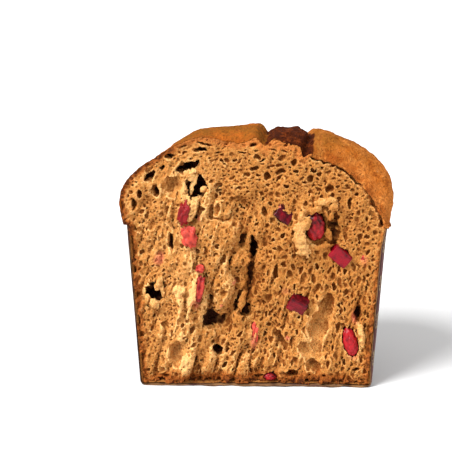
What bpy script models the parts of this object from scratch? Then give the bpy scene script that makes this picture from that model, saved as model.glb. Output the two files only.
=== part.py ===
"""Half of a tall panettone, cut down through its dome, in its ribbed paper baking case.

Metres, +Z up. The origin is the middle of the round base, on the case's axis, at the case's underside.
The cut face looks along -Y. The cake is turned on its axis as a whole loaf, then cut by a rough blade solid.
"""

import math

import bmesh
import bpy
from mathutils import Vector, noise

MM = 0.001
GAP = 0.3 * MM

# Paper case: a ribbed cup that widens to its rim
BASE_RADIUS = 77.8 * MM
RIM_RADIUS = 85.0 * MM
CASE_HEIGHT = 110.0 * MM
PAPER = 1.0 * MM
CASE_CORNER = 4.0 * MM
RIB_PITCH = 3.2 * MM
RIB_DEPTH = 0.5 * MM
RIBS = round(math.tau * (BASE_RADIUS + RIM_RADIUS) / 2 / RIB_PITCH)

# Cut plane, a little in front of the axis, so the piece is slightly more than half
CUT_Y = -9.0 * MM

# Dome: a flattened superellipse of revolution that overhangs the case
DOME_RADIUS = 90.4 * MM
DOME_EQUATOR = 126.0 * MM
DOME_TOP = 172.0 * MM
DOME_POWER = 2.35
LIP_RADIUS = 87.0 * MM
LIP_FADE = 12.0 * MM
CAP_RADIUS = 60.0 * MM
CAP_SMOOTHINGS = 6
TURN_STEPS = 128
WALL_ROWS = 5
LIP_ROWS = 3
DOME_ROWS = 8

# Front roll: how far the crust at the cut draws in from the full dome, by the angle round ROLL_HUB
ROLL_HUB = Vector((0.0, 0.0, 100.0 * MM))
ROLL_REACH = 24.0 * MM
ROLL_POWER = 0.75
ROLL_STOPS = (
    (5, 1.0), (9, 5.0), (16, 11.5), (23, 15.5), (32, 17.0), (43, 15.6), (52, 14.2), (58, 13.6), (62, 10.6),
    (66, 7.9), (76, 6.6), (81, 3.6), (90, 4.4), (97, 7.0), (101, 7.5), (106, 5.7), (112, 3.7), (118, 0.0),
)

# Left shoulder: the dome stands lower there through its whole depth
SLUMP = 4.0 * MM
SLUMP_ANGLE = 150.0
SLUMP_SPREAD = 20.0

# Torn opening across the top of the dome, between the two crust flaps
LEFT_SPLIT_X = 6.0 * MM
RIGHT_SPLIT_X = 36.0 * MM
SPLIT_WIDTH = 4.2 * MM
SPLIT_DEPTH = 5.5 * MM
SPLIT_WANDER = 5.0 * MM
SPLIT_WANDER_SIZE = 24.0 * MM
FLAP_RISE = 2.2 * MM
FLAP_BACK = 7.0 * MM
LUMP_HEIGHT = 1.5 * MM
LUMP_SIZE = 24.0 * MM

# Blade solid: the torn surface of the cut
BLADE_DEPTH = 120.0 * MM
BLADE_HALF_WIDTH = 110.0 * MM
BLADE_LOW = -8.0 * MM
BLADE_TOP = 208.0 * MM
BLADE_CELLS = 41
TEAR_HEIGHT = 1.3 * MM
TEAR_SIZE = 9.0 * MM

# Leans below are anticlockwise, as seen on the cut face.

# Broad ridges (+) and troughs (-) of the torn crumb: x, z, half width, half height, lean, height; in mm
SWELLS = (
    (-46, 58, 12, 50, 5, 5.0),
    (-13, 60, 14, 40, -4, -5.0),
    (-22, 73, 6, 21, -6, 4.0),
    (-11, 50, 4, 12, -15, 4.0),
    (8, 30, 14, 24, 0, -4.0),
    (28, 106, 6, 15, 0, 3.0),
    (-76, 95, 9, 34, 0, -1.5),
    (52, 60, 24, 40, 0, -1.5),
    (0, 2, 84, 6, 0, -2.0),
)

# Cavities of the crumb: x, z, half width, half height, lean, depth; in mm
CAVITIES = (
    (-39, 136, 8.0, 9.2, -30, 17),
    (-44.6, 148.7, 9.6, 3.6, 22, 13),
    (-36, 159.7, 5.0, 1.7, 4, 8),
    (-56, 155.6, 3.4, 2.1, 20, 8),
    (-68.7, 142.4, 5.2, 2.8, 40, 8),
    (-65.3, 132.9, 3.2, 4.1, 0, 8),
    (-54.7, 135.9, 6.9, 7.3, 0, 6),
    (-80, 124.2, 2.2, 4.2, 0, 6),
    (-56, 99.1, 2.2, 7.2, 0, 9),
    (-66.6, 64.8, 7.0, 9.5, -35, 16),
    (-9.3, 100.4, 2.5, 7.0, -20, 10),
    (-2.2, 94.7, 3.1, 9.6, 0, 15),
    (-28.6, 45.5, 6.5, 8.0, -20, 10),
    (-7.5, 53, 4.5, 7.6, 0, 12),
    (-25.6, 24.3, 3.4, 5.0, 25, 12),
    (-52.9, 22.6, 5.6, 9.6, 0, 6),
    (-36, 21.5, 3.2, 5.6, 0, 6),
    (40.5, 43, 7.4, 20.0, -5, 6),
    (33, 21.5, 5.5, 10.0, 24, 6),
    (16, 32.3, 4.0, 9.0, 30, 7),
    (66.5, 51, 3.2, 5.6, 0, 9),
    (46.6, 134.8, 3.0, 3.0, 0, 5),
    (6.2, 143.1, 2.4, 3.0, 15, 5),
    (49.5, 107, 6.0, 12.5, 0, 8),
    (12.2, 79.7, 2.5, 6.4, 0, 4),
)
CAVITY_TURNS = 10
CAVITY_RINGS = 7
CAVITY_BUMP = 0.14
CAVITY_BUMP_SIZE = 0.6 * MM

# Fruit at the cut: name, shape, x, z, width, height, thickness, lean, how far its middle lies inside
FRUITS = (
    ("cube_upper", "cube", 17.0, 117.0, 11.5, 8.5, 9.0, -36, 3.5),
    ("cube_right", "cube", 54.6, 90.4, 13.5, 9.5, 9.0, -40, 3.0),
    ("cube_lower", "cube", 27.5, 58.0, 12.5, 10.5, 11.0, -25, 3.0),
    ("berry_upper", "berry", 37.4, 110.0, 12.5, 19.0, 11.0, 10, 2.0),
    ("berry_right", "berry", 62.2, 31.0, 10.0, 20.0, 10.0, 14, 2.5),
    ("berry_base", "berry", 9.3, 5.4, 8.5, 5.6, 8.0, 0, 2.5),
    ("chunk_left_top", "chunk", -47.1, 118.8, 7.5, 15.0, 7.0, -14, 2.0),
    ("chunk_left_bright", "chunk", -43.7, 102.8, 9.5, 14.0, 8.0, 12, 1.5),
    ("chunk_left_small", "chunk", -37.0, 81.3, 5.2, 5.4, 5.0, 0, 1.0),
    ("chunk_left_long", "chunk", -38.0, 67.7, 7.0, 18.0, 6.5, -12, 1.2),
    ("chunk_middle", "chunk", -1.5, 36.7, 5.6, 15.0, 6.0, -5, 2.0),
    ("chunk_right_small", "chunk", 68.9, 88.2, 4.4, 4.6, 4.0, 0, 1.4),
)
FRUIT_BEVEL = 0.1
POCKET_GAP = 1.5 * GAP

# How lumpy each shape of fruit is: height of its lumps as a share of its size, and how many fit across it
FRUIT_LUMPS = {"cube": (0.0, 1.0), "berry": (0.09, 6.5), "chunk": (0.09, 3.0)}

# Finishes: base colour and roughness
SHARP_FROM = math.radians(35)
CRUST_BROWN = ((0.42, 0.19, 0.06, 1.0), 0.8)
CASE_BROWN = ((0.13, 0.05, 0.045, 1.0), 0.75)
FRUIT_FINISHES = {
    "cube": ((0.24, 0.005, 0.03, 1.0), 0.25),
    "berry": ((0.40, 0.01, 0.04, 1.0), 0.35),
    "chunk": ((0.55, 0.03, 0.04, 1.0), 0.4),
}


def clear_scene():
    """Removes the objects that a new file opens with."""
    for obj in list(bpy.data.objects):
        bpy.data.objects.remove(obj)


def finish_named(name, colour_and_roughness):
    """A Principled material of one colour and roughness."""
    colour, roughness = colour_and_roughness
    material = bpy.data.materials.new(name)
    material.use_nodes = True
    shader = material.node_tree.nodes["Principled BSDF"]
    shader.inputs["Base Color"].default_value = colour
    shader.inputs["Roughness"].default_value = roughness
    material.diffuse_color = colour
    return material


def object_from(bm, name, material=None):
    """Turns a bmesh into a named object in the scene, smooth up to SHARP_FROM between faces."""
    bmesh.ops.recalc_face_normals(bm, faces=bm.faces)
    mesh = bpy.data.meshes.new(name)
    bm.to_mesh(mesh)
    bm.free()
    mesh.shade_smooth()
    mesh.set_sharp_from_angle(angle=SHARP_FROM)
    obj = bpy.data.objects.new(name, mesh)
    bpy.context.scene.collection.objects.link(obj)
    if material:
        mesh.materials.append(material)
    return obj


def turned(profile, steps):
    """A bmesh turned round Z from a profile of (radius, height) points."""
    bm = bmesh.new()
    points = [bm.verts.new((radius, 0.0, height)) for radius, height in profile]
    edges = [bm.edges.new(pair) for pair in zip(points, points[1:])]
    bmesh.ops.spin(
        bm, geom=points + edges, cent=(0, 0, 0), axis=(0, 0, 1), angle=math.tau, steps=steps, use_merge=True
    )
    bmesh.ops.remove_doubles(bm, verts=bm.verts, dist=0.01 * MM)
    return bm


def case_radius(height):
    """The outer radius of the case at a height."""
    return BASE_RADIUS + (RIM_RADIUS - BASE_RADIUS) * height / CASE_HEIGHT


def corner_arc(radius_out, low, corner, steps):
    """A rounded base corner, as (radius, height) points from the flat base to the wall."""
    angles = [math.pi / 2 * step / steps for step in range(steps + 1)]
    return [
        (radius_out - corner + corner * math.sin(angle), low + corner - corner * math.cos(angle))
        for angle in angles
    ]


def make_case(material):
    """The paper case: a cup with a ribbed outside, cut through with the cake."""
    outside = corner_arc(case_radius(CASE_CORNER), 0.0, CASE_CORNER, 2)
    inside = corner_arc(case_radius(CASE_CORNER) - PAPER, PAPER, CASE_CORNER - PAPER, 1)
    profile = [(0.0, 0.0), *outside, (RIM_RADIUS, CASE_HEIGHT)]
    profile += [(RIM_RADIUS - PAPER, CASE_HEIGHT), *reversed(inside), (0.0, PAPER)]
    bm = turned(profile, 2 * RIBS)
    for vert in bm.verts:
        radius = math.hypot(vert.co.x, vert.co.y)
        on_outside = radius > case_radius(vert.co.z) - PAPER / 2 and vert.co.z > CASE_CORNER / 2
        turn = math.atan2(vert.co.y, vert.co.x) / math.tau * 2 * RIBS
        if on_outside and round(turn) % 2:
            shrunk = (radius - RIB_DEPTH) / radius
            vert.co.x *= shrunk
            vert.co.y *= shrunk
    cut = bmesh.ops.bisect_plane(
        bm,
        geom=bm.verts[:] + bm.edges[:] + bm.faces[:],
        plane_co=(0, CUT_Y, 0),
        plane_no=(0, -1, 0),
        clear_outer=True,
    )
    rim = [item for item in cut["geom_cut"] if isinstance(item, bmesh.types.BMEdge)]
    bmesh.ops.contextual_create(bm, geom=rim)
    return object_from(bm, "paper_case", material)


def dome_height(radius):
    """The height of the plain dome at a radius."""
    rise = (1.0 - (radius / DOME_RADIUS) ** DOME_POWER) ** (1 / DOME_POWER)
    return DOME_EQUATOR + (DOME_TOP - DOME_EQUATOR) * rise


def cake_profile():
    """The whole cake's profile: base, wall inside the case, lip over the rim, and dome up to its cap."""
    floor = PAPER + GAP
    inset = PAPER + GAP
    corner = corner_arc(case_radius(CASE_CORNER) - inset, floor, CASE_CORNER - inset, 1)
    wall = []
    for row in range(1, WALL_ROWS + 1):
        height = CASE_CORNER + (CASE_HEIGHT - CASE_CORNER) * row / WALL_ROWS
        wall.append((case_radius(height) - inset, height))
    over_rim = CASE_HEIGHT + GAP
    lip = [(case_radius(CASE_HEIGHT) - inset, over_rim), (LIP_RADIUS, over_rim)]
    for row in range(1, LIP_ROWS + 1):
        share = row / (LIP_ROWS + 1)
        radius = LIP_RADIUS + (DOME_RADIUS - LIP_RADIUS) * math.sin(math.pi / 2 * share)
        lip.append((radius, over_rim + (DOME_EQUATOR - over_rim) * share))
    dome = []
    for row in range(DOME_ROWS + 1):
        radius = DOME_RADIUS - (DOME_RADIUS - CAP_RADIUS) * (row / DOME_ROWS) ** 2
        dome.append((radius, dome_height(radius)))
    return [(0.0, floor), *corner, *wall, *lip, *dome]


def add_cap(bm):
    """Closes the top of the turned cake with a grid that follows the dome, so that it has no pole."""
    rim = [edge for edge in bm.edges if edge.is_boundary]
    middles = {edge: (edge.verts[0].co + edge.verts[1].co) / 2 for edge in rim}
    sides = [edge for edge in rim if abs(middles[edge].x) > abs(middles[edge].y)]
    filled = bmesh.ops.grid_fill(bm, edges=sides)
    on_cap = {vert for face in filled["faces"] for vert in face.verts}
    within = [vert for vert in on_cap if all(edge not in middles for edge in vert.link_edges)]
    for _ in range(CAP_SMOOTHINGS):
        bmesh.ops.smooth_vert(bm, verts=within, factor=0.5, use_axis_x=True, use_axis_y=True)
    for vert in within:
        vert.co.z = dome_height(math.hypot(vert.co.x, vert.co.y))


def roll_in(angle):
    """How far the crust at the cut draws in, at an angle in degrees round ROLL_HUB."""
    for (low, start), (high, end) in zip(ROLL_STOPS, ROLL_STOPS[1:]):
        if low <= angle < high:
            return (start + (end - start) * (angle - low) / (high - low)) * MM
    return 0.0


def split_edges(depth):
    """The x of the opening's two edges at a depth behind the axis; they close up towards the back."""
    wander = SPLIT_WANDER * noise.noise(Vector((depth / SPLIT_WANDER_SIZE, 3.1, 0.0)))
    close = max(0.0, depth / DOME_RADIUS) ** 2 * (RIGHT_SPLIT_X - LEFT_SPLIT_X) / 4
    return LEFT_SPLIT_X + wander + close, RIGHT_SPLIT_X + wander - close


def skin_offset(place):
    """How far the crust stands out from the plain dome: lumps, raised flap edges and their splits."""
    left, right = split_edges(place.y)
    inside = min(place.x - left, right - place.x)
    flap_edge = FLAP_RISE * math.exp(-(((inside + FLAP_BACK) / FLAP_BACK) ** 2))
    split = SPLIT_DEPTH * math.exp(-((inside / SPLIT_WIDTH) ** 2))
    return flap_edge - split + noise.noise(place / LUMP_SIZE) * LUMP_HEIGHT


def shape_dome(bm):
    """Moves the dome's points to the flaps and splits, the left shoulder and the front roll."""
    for vert in bm.verts:
        if vert.co.z <= CASE_HEIGHT + 2 * GAP:
            continue
        place = vert.co.copy()
        outward = (place - ROLL_HUB).normalized()
        angle = math.degrees(math.atan2(place.z - ROLL_HUB.z, place.x))
        slump = SLUMP * math.exp(-(((angle - SLUMP_ANGLE) / SLUMP_SPREAD) ** 2))
        forward = 1.0 - max(0.0, min(1.0, (place.y - CUT_Y) / ROLL_REACH))
        roll = roll_in(angle) * (1.0 - (1.0 - forward ** 2) ** ROLL_POWER)
        above_rim = min(1.0, (place.z - CASE_HEIGHT) / LIP_FADE)
        vert.co += outward * (skin_offset(place) * above_rim - slump - roll)


def tear(x, z):
    """How far the torn crumb stands out of the cut plane, in metres, towards the viewer."""
    height = TEAR_HEIGHT * noise.noise(Vector((x / TEAR_SIZE, 0.0, z / (1.6 * TEAR_SIZE))))
    for at_x, at_z, half_width, half_height, lean, rise in SWELLS:
        turn = math.radians(lean)
        dx, dz = x / MM - at_x, z / MM - at_z
        across = dx * math.cos(turn) + dz * math.sin(turn)
        along = dz * math.cos(turn) - dx * math.sin(turn)
        height += rise * MM * math.exp(-((across / half_width) ** 2) - (along / half_height) ** 2)
    return height


def make_blade():
    """The blade solid in front of the cut, whose back is the torn surface."""
    bm = bmesh.new()
    bmesh.ops.create_grid(bm, x_segments=BLADE_CELLS, y_segments=BLADE_CELLS, size=1.0)
    for vert in bm.verts:
        x = vert.co.x * BLADE_HALF_WIDTH
        z = BLADE_LOW + (BLADE_TOP - BLADE_LOW) * (vert.co.y + 1.0) / 2
        vert.co = Vector((x, CUT_Y - tear(x, z), z))
    pulled = bmesh.ops.extrude_face_region(bm, geom=bm.faces[:])
    for item in pulled["geom"]:
        if isinstance(item, bmesh.types.BMVert):
            item.co.y = CUT_Y - BLADE_DEPTH
    flat = [face for face in bm.faces if face.calc_center_median().y < CUT_Y - 0.9 * BLADE_DEPTH]
    bmesh.ops.dissolve_faces(bm, faces=flat)
    return object_from(bm, "blade")


def make_cavity(index, at_x, at_z, half_width, half_height, lean, depth):
    """One egg-shaped cutter, uneven all round, for a cavity that opens at the cut."""
    bm = bmesh.new()
    bmesh.ops.create_uvsphere(bm, u_segments=CAVITY_TURNS, v_segments=CAVITY_RINGS, radius=MM)
    for vert in bm.verts:
        bump = 1.0 + CAVITY_BUMP * noise.noise(vert.co / CAVITY_BUMP_SIZE + Vector((index, 0, 0)))
        vert.co = Vector((vert.co.x * half_width * bump, vert.co.y * depth, vert.co.z * half_height * bump))
    cavity = object_from(bm, f"cavity_{index}")
    cavity.location = (at_x * MM, CUT_Y - tear(at_x * MM, at_z * MM), at_z * MM)
    cavity.rotation_euler = (0.0, math.radians(-lean), 0.0)
    return cavity


def fruit_object(name, shape, size, seed, grow, material=None):
    """A piece of fruit about its own middle, grown by a clearance where it is the cutter of its pocket."""
    bm = bmesh.new()
    if shape == "cube":
        bmesh.ops.create_cube(bm, size=1.0)
        bmesh.ops.bevel(
            bm, geom=bm.edges[:], offset=FRUIT_BEVEL, segments=1, profile=0.5, affect="EDGES", material=-1
        )
    else:
        bmesh.ops.create_icosphere(bm, subdivisions=2, radius=0.5)
    height, across = FRUIT_LUMPS[shape]
    for vert in bm.verts:
        lump = 1.0 + height * noise.noise(vert.co * across + Vector((seed * 7.3, 0.0, 0.0)))
        vert.co = Vector(vert.co[axis] * lump * size[axis] for axis in range(3))
    bm.normal_update()
    for vert, normal in [(vert, vert.normal.copy()) for vert in bm.verts]:
        vert.co += normal * grow
    return object_from(bm, name, material)


def make_fruits():
    """Each piece of fruit as its own object, and the cutters of their pockets."""
    pockets = []
    for seed, (name, shape, x, z, width, height, thick, lean, inside) in enumerate(FRUITS):
        size = (width * MM, thick * MM, height * MM)
        piece = fruit_object(name, shape, size, seed, 0.0, finish_named(name, FRUIT_FINISHES[shape]))
        pocket = fruit_object(f"pocket_{name}", shape, size, seed, POCKET_GAP)
        for obj in (piece, pocket):
            obj.location = (x * MM, CUT_Y - tear(x * MM, z * MM) + inside * MM, z * MM)
            obj.rotation_euler = (0.0, math.radians(-lean), 0.0)
        pockets.append(pocket)
    return pockets


def make_cake(material, cutters):
    """The cake: the whole turned loaf, less the blade, the cavities and the fruit's pockets."""
    bm = turned(cake_profile(), TURN_STEPS)
    add_cap(bm)
    shape_dome(bm)
    cake = object_from(bm, "cake", material)
    cut = cake.modifiers.new("cut", "BOOLEAN")
    cut.operation = "DIFFERENCE"
    cut.operand_type = "COLLECTION"
    cut.collection = cutters
    cut.solver = "EXACT"
    return cake


def main():
    clear_scene()
    crust = finish_named("crust", CRUST_BROWN)
    paper = finish_named("paper", CASE_BROWN)
    make_case(paper)
    tools = [make_blade(), *make_fruits()]
    tools += [make_cavity(index, *cavity) for index, cavity in enumerate(CAVITIES)]
    cutters = bpy.data.collections.new("cutters")
    bpy.context.scene.collection.children.link(cutters)
    for tool in tools:
        bpy.context.scene.collection.objects.unlink(tool)
        cutters.objects.link(tool)
        tool.hide_render = True
        tool.display_type = "WIRE"
    make_cake(crust, cutters)


main()
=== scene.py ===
"""Half of a tall panettone, cut down through its dome, in its ribbed paper baking case.

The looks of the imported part, in metres, with +Z up and the cut face towards -Y. The pieces follow the loaf
as it is made: paper, crust, crumb, fruit.
"""

import math

import bmesh
import bpy
import numpy as np
import openvdb
from mathutils import Matrix, Vector, kdtree, noise


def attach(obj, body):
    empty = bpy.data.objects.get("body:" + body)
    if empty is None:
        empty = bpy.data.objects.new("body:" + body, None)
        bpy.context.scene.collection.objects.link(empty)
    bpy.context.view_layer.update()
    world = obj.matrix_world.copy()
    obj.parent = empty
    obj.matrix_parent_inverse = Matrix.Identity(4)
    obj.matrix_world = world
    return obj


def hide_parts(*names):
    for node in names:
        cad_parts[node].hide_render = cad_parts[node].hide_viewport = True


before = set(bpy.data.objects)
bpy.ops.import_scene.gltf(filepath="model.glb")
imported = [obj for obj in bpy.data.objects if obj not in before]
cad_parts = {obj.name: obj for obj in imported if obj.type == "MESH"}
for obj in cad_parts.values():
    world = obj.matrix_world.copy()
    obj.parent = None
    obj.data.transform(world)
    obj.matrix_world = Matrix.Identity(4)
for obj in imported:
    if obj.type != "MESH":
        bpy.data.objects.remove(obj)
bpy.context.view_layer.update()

# The paper case is a cup of stiff brown baking paper, folded into fine upright ribs and printed all over with
# small pale gold rosettes. It widens towards its rim, and the knife went through it with the loaf.
MM = 0.001
CUT_Y = -9.0 * MM
BASE_RADIUS = 77.8 * MM
RIM_RADIUS = 85.0 * MM
CASE_HEIGHT = 110.0 * MM
CASE_CORNER = 4.0 * MM
PAPER = 0.6 * MM
RIBS = 160
RIB_STEPS = 8
RIB_DEPTH = 0.75 * MM
BEND_IN = 1.9 * MM
BEND_BACK = 8.0 * MM
BEND_BELOW_RIM = 14.0 * MM
BEND_ABOVE_BASE = 10.0 * MM
RIPPLE = 0.35 * MM
RIPPLE_SIZE = 16.0 * MM
SHRUNK_IN = 0.2 * MM
RIM_BAND = 2.0 * MM
RIM_RAGGED = 0.5 * MM
RIM_RAGGED_SIZE = 5.0 * MM
BASE_BAND = 1.5 * MM
BASE_PROUD = 1.0 * MM
BASE_PROUD_SIZE = 11.0 * MM
BASE_LIFTED = 1.6 * MM
BASE_LIFTED_SIZE = 7.0 * MM
LEFT_TORN_BACK = 1.2 * MM
LEFT_TORN_SIZE = 6.0 * MM


class Wire:
    """One socket of a material's nodes, so that shader maths reads as an expression."""

    def __init__(self, tree, socket=None):
        self.tree = tree
        self.socket = socket

    def node(self, kind, settings, inputs, output=0):
        """Adds a node, with its settings and its sockets' values or links, and gives one of its outputs."""
        made = self.tree.nodes.new(kind)
        for name, value in settings.items():
            setattr(made, name, value)
        for key, value in inputs.items():
            found = made.inputs[key] if isinstance(key, int) else None
            for socket in made.inputs:
                if found is None and key in (socket.identifier, socket.name):
                    found = socket
            if isinstance(value, Wire):
                self.tree.links.new(value.socket, found)
            else:
                found.default_value = value
        if isinstance(output, str):
            output = [socket.identifier for socket in made.outputs].index(output)
        return Wire(self.tree, made.outputs[output])

    def maths(self, operation, *values, clamp=False):
        """A Math node on this socket and others."""
        sockets = dict(enumerate((self, *values)))
        return self.node("ShaderNodeMath", {"operation": operation, "use_clamp": clamp}, sockets)

    def __add__(self, other):
        return self.maths("ADD", other)

    def __sub__(self, other):
        return self.maths("SUBTRACT", other)

    def __rsub__(self, other):
        return self.node("ShaderNodeMath", {"operation": "SUBTRACT"}, {0: other, 1: self})

    def __mul__(self, other):
        return self.maths("MULTIPLY", other)

    def __truediv__(self, other):
        return self.maths("DIVIDE", other)

    __radd__ = __add__
    __rmul__ = __mul__

    def rise(self, low, high, smooth=True):
        """0 below one value and 1 above another; the other way round where low is the higher one."""
        kind = "SMOOTHSTEP" if smooth else "LINEAR"
        flip = low > high
        ends = (high, low) if flip else (low, high)
        sockets = {"Value": self, "From Min": ends[0], "From Max": ends[1]}
        step = self.node("ShaderNodeMapRange", {"interpolation_type": kind, "clamp": True}, sockets)
        return 1.0 - step if flip else step

    def blend(self, first, second):
        """Colour first where this mask is 0 and colour second where it is 1."""
        sockets = {"Factor_Float": self, "A_Color": first, "B_Color": second}
        return self.node("ShaderNodeMix", {"data_type": "RGBA"}, sockets, "Result_Color")

    def clouds(self, size, detail=2.0, roughness=0.5, stretch=(1.0, 1.0, 1.0), at=(0.0, 0.0, 0.0)):
        """Noise about 0.5 on these coordinates, with lumps of a size in metres."""
        scaled = self.stretched(stretch, at)
        sockets = {"Vector": scaled, "Scale": 1.0 / size, "Detail": detail, "Roughness": roughness}
        return self.node("ShaderNodeTexNoise", {"noise_dimensions": "3D"}, sockets)

    def cells(self, size, feature="F1", stretch=(1.0, 1.0, 1.0), at=(0.0, 0.0, 0.0)):
        """Distance from cell middles, or from cell edges, in shares of a cell of a size in metres."""
        sockets = {"Vector": self.stretched(stretch, at), "Scale": 1.0 / size}
        return self.node("ShaderNodeTexVoronoi", {"feature": feature}, sockets)

    def stretched(self, stretch, at):
        """These coordinates scaled and moved by a Mapping node."""
        sockets = {"Vector": self, "Location": at, "Scale": stretch}
        return self.node("ShaderNodeMapping", {}, sockets)

    def part(self, axis):
        """One of the three parts of this vector."""
        return self.node("ShaderNodeSeparateXYZ", {}, {"Vector": self}, axis)

    def attribute(self, name):
        """The value that a mesh carries under a name."""
        return self.node("ShaderNodeAttribute", {"attribute_name": name}, {}, 2)

    def bump(self, strength, distance):
        """A Bump node on this height."""
        sockets = {"Height": self, "Strength": strength, "Distance": distance}
        return self.node("ShaderNodeBump", {}, sockets)


def finish_nodes(name, **constants):
    """A new material, its shader with constant values set on its own sockets, and the start of its wires."""
    material = bpy.data.materials.new(name)
    material.use_nodes = True
    shader = material.node_tree.nodes["Principled BSDF"]
    for key, value in constants.items():
        shader.inputs[key.replace("_", " ")].default_value = value
    start = Wire(material.node_tree)
    place = start.node("ShaderNodeTexCoord", {}, {}, 3)
    return material, shader, place


def feed(shader, **wires):
    """Links wires to the shader's sockets."""
    for key, wire in wires.items():
        wire.tree.links.new(wire.socket, shader.inputs[key.replace("_", " ")])


def piece_from(bm, name, material):
    """Turns a bmesh into a smooth shaded object with its place in its mesh."""
    mesh = bpy.data.meshes.new(name)
    bm.to_mesh(mesh)
    bm.free()
    mesh.shade_smooth()
    mesh.materials.append(material)
    piece = bpy.data.objects.new(name, mesh)
    bpy.context.scene.collection.objects.link(piece)
    return piece


def turned(profile, steps):
    """A sheet rolled up round Z to a profile of (radius, height) points, and closed along its seam."""
    bm = bmesh.new()
    bmesh.ops.create_grid(bm, x_segments=steps, y_segments=len(profile) - 1, size=1.0)
    for vert in bm.verts:
        radius, height = profile[round((vert.co.y + 1.0) / 2 * (len(profile) - 1))]
        turn = (vert.co.x + 1.0) * math.pi
        vert.co = Vector((radius * math.cos(turn), radius * math.sin(turn), height))
    bmesh.ops.remove_doubles(bm, verts=bm.verts, dist=0.005 * MM)
    return bm


def cut_through(bm):
    """Cuts the front off a turned bmesh, and gives the edges along the cut."""
    cut = bmesh.ops.bisect_plane(
        bm,
        geom=bm.verts[:] + bm.edges[:] + bm.faces[:],
        plane_co=(0, CUT_Y, 0),
        plane_no=(0, -1, 0),
        clear_outer=True,
    )
    return [item for item in cut["geom_cut"] if isinstance(item, bmesh.types.BMEdge)]


def limited(value):
    """The value, kept between 0 and 1."""
    return max(0.0, min(1.0, value))


def bell(offset, spread):
    """1 at no offset, and smoothly less away from it."""
    return math.exp(-((offset / spread) ** 2))


def case_radius(height):
    """The outer radius of the case at a height."""
    return BASE_RADIUS + (RIM_RADIUS - BASE_RADIUS) * height / CASE_HEIGHT


def corner_arc(radius_out, low, corner, steps):
    """A rounded base corner, as (radius, height) points from the flat base to the wall."""
    angles = [math.pi / 2 * step / steps for step in range(steps + 1)]
    return [
        (radius_out - corner + corner * math.sin(angle), low + corner - corner * math.cos(angle))
        for angle in angles
    ]


def bend_of(x, y, z):
    """How far the wall near the right-hand cut edge leans inwards, where the knife pressed it."""
    if x < 0.0 or z > CASE_HEIGHT:
        return 0.0
    near_cut = max(0.0, 1.0 - (y - CUT_Y) / BEND_BACK)
    below_rim = min(1.0, (CASE_HEIGHT - z) / BEND_BELOW_RIM)
    above_base = min(1.0, z / BEND_ABOVE_BASE)
    return BEND_IN * near_cut ** 2 * below_rim * above_base * max(0.0, x / BASE_RADIUS) ** 4


paper, paper_shader, place = finish_nodes("printed_paper", Roughness=0.62, Specular_IOR_Level=0.22)
COLUMNS = 52
ROSETTE_STEP = 26.0 * MM
ROSETTE_HALF_WIDTH = 3.8 * MM
ROSETTE_HALF_HEIGHT = 5.6 * MM
TROUGH_SHADE_BROWN = (0.030, 0.008, 0.010, 1.0)
CREST_MAUVE = (0.155, 0.062, 0.058, 1.0)
GOLD_PRINT = (0.34, 0.28, 0.13, 1.0)
apart = [place.part(axis) for axis in range(3)]
turn = apart[1].maths("ARCTAN2", apart[0]) / math.tau
radius = (apart[0] * apart[0] + apart[1] * apart[1]).maths("SQRT")
on_wall = radius.rise(74.0 * MM, 76.0 * MM)
column = turn * COLUMNS + COLUMNS
across = column.maths("FRACT") - 0.5
odd = (column.maths("FLOOR") * 0.5).maths("FRACT") * 2.0
level = apart[2] / ROSETTE_STEP + odd * 0.5 + 0.25
along = level.maths("FRACT") - 0.5
wide = across * (math.tau * (BASE_RADIUS + RIM_RADIUS) / 2 / COLUMNS / ROSETTE_HALF_WIDTH)
tall = along * (ROSETTE_STEP / ROSETTE_HALF_HEIGHT)
reach = (wide * wide + tall * tall).maths("SQRT")
petals = (tall.maths("ARCTAN2", wide) * 3.0).maths("COSINE").maths("ABSOLUTE")
outline = (reach - (0.50 + petals * 0.45)).maths("ABSOLUTE").rise(0.15, 0.06)
inner_line = (reach - (0.22 + petals * 0.22)).maths("ABSOLUTE").rise(0.09, 0.03)
seed_dot = reach.rise(0.13, 0.06)
rosette = outline.maths("MAXIMUM", inner_line).maths("MAXIMUM", seed_dot)
rib_wave = (turn * RIBS * math.tau).maths("COSINE") * 0.5 + 0.5
rib_crest = rib_wave.rise(0.10, 0.75)
worn_print = place.clouds(0.9 * MM, 3.0, 0.6).rise(0.30, 0.52)
# Painted shade: the paper darkens to brown and its print fades in the troughs of its ribs, with random
# patches over both.
print_mask = rosette * (0.25 + rib_crest * 0.75) * worn_print * on_wall
paper_shade = place.clouds(14.0 * MM, 4.0, 0.6, (1.0, 1.0, 0.3)) * 0.6 + rib_crest * 0.7 - 0.15
ground = paper_shade.maths("MULTIPLY", 1.0, clamp=True).blend(TROUGH_SHADE_BROWN, CREST_MAUVE)
fibres = place.clouds(0.35 * MM, 3.0, 0.7, (1.0, 1.0, 0.25))
feed(
    paper_shader,
    Base_Color=print_mask.blend(ground, GOLD_PRINT),
    Roughness=0.66 - print_mask * 0.18 + fibres * 0.1,
    Normal=fibres.bump(0.35, 0.15 * MM),
)

bare_paper, bare_shader, place = finish_nodes("bare_paper", Roughness=0.8, Specular_IOR_Level=0.3)
grease = place.clouds(9.0 * MM, 4.0, 0.6).rise(0.35, 0.7)
BARE_BROWN = (0.21, 0.100, 0.034, 1.0)
GREASE_BROWN = (0.060, 0.023, 0.008, 1.0)
feed(
    bare_shader,
    Base_Color=grease.blend(BARE_BROWN, GREASE_BROWN),
    Normal=place.clouds(0.4 * MM, 3.0, 0.7).bump(0.3, 0.1 * MM),
)

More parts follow.
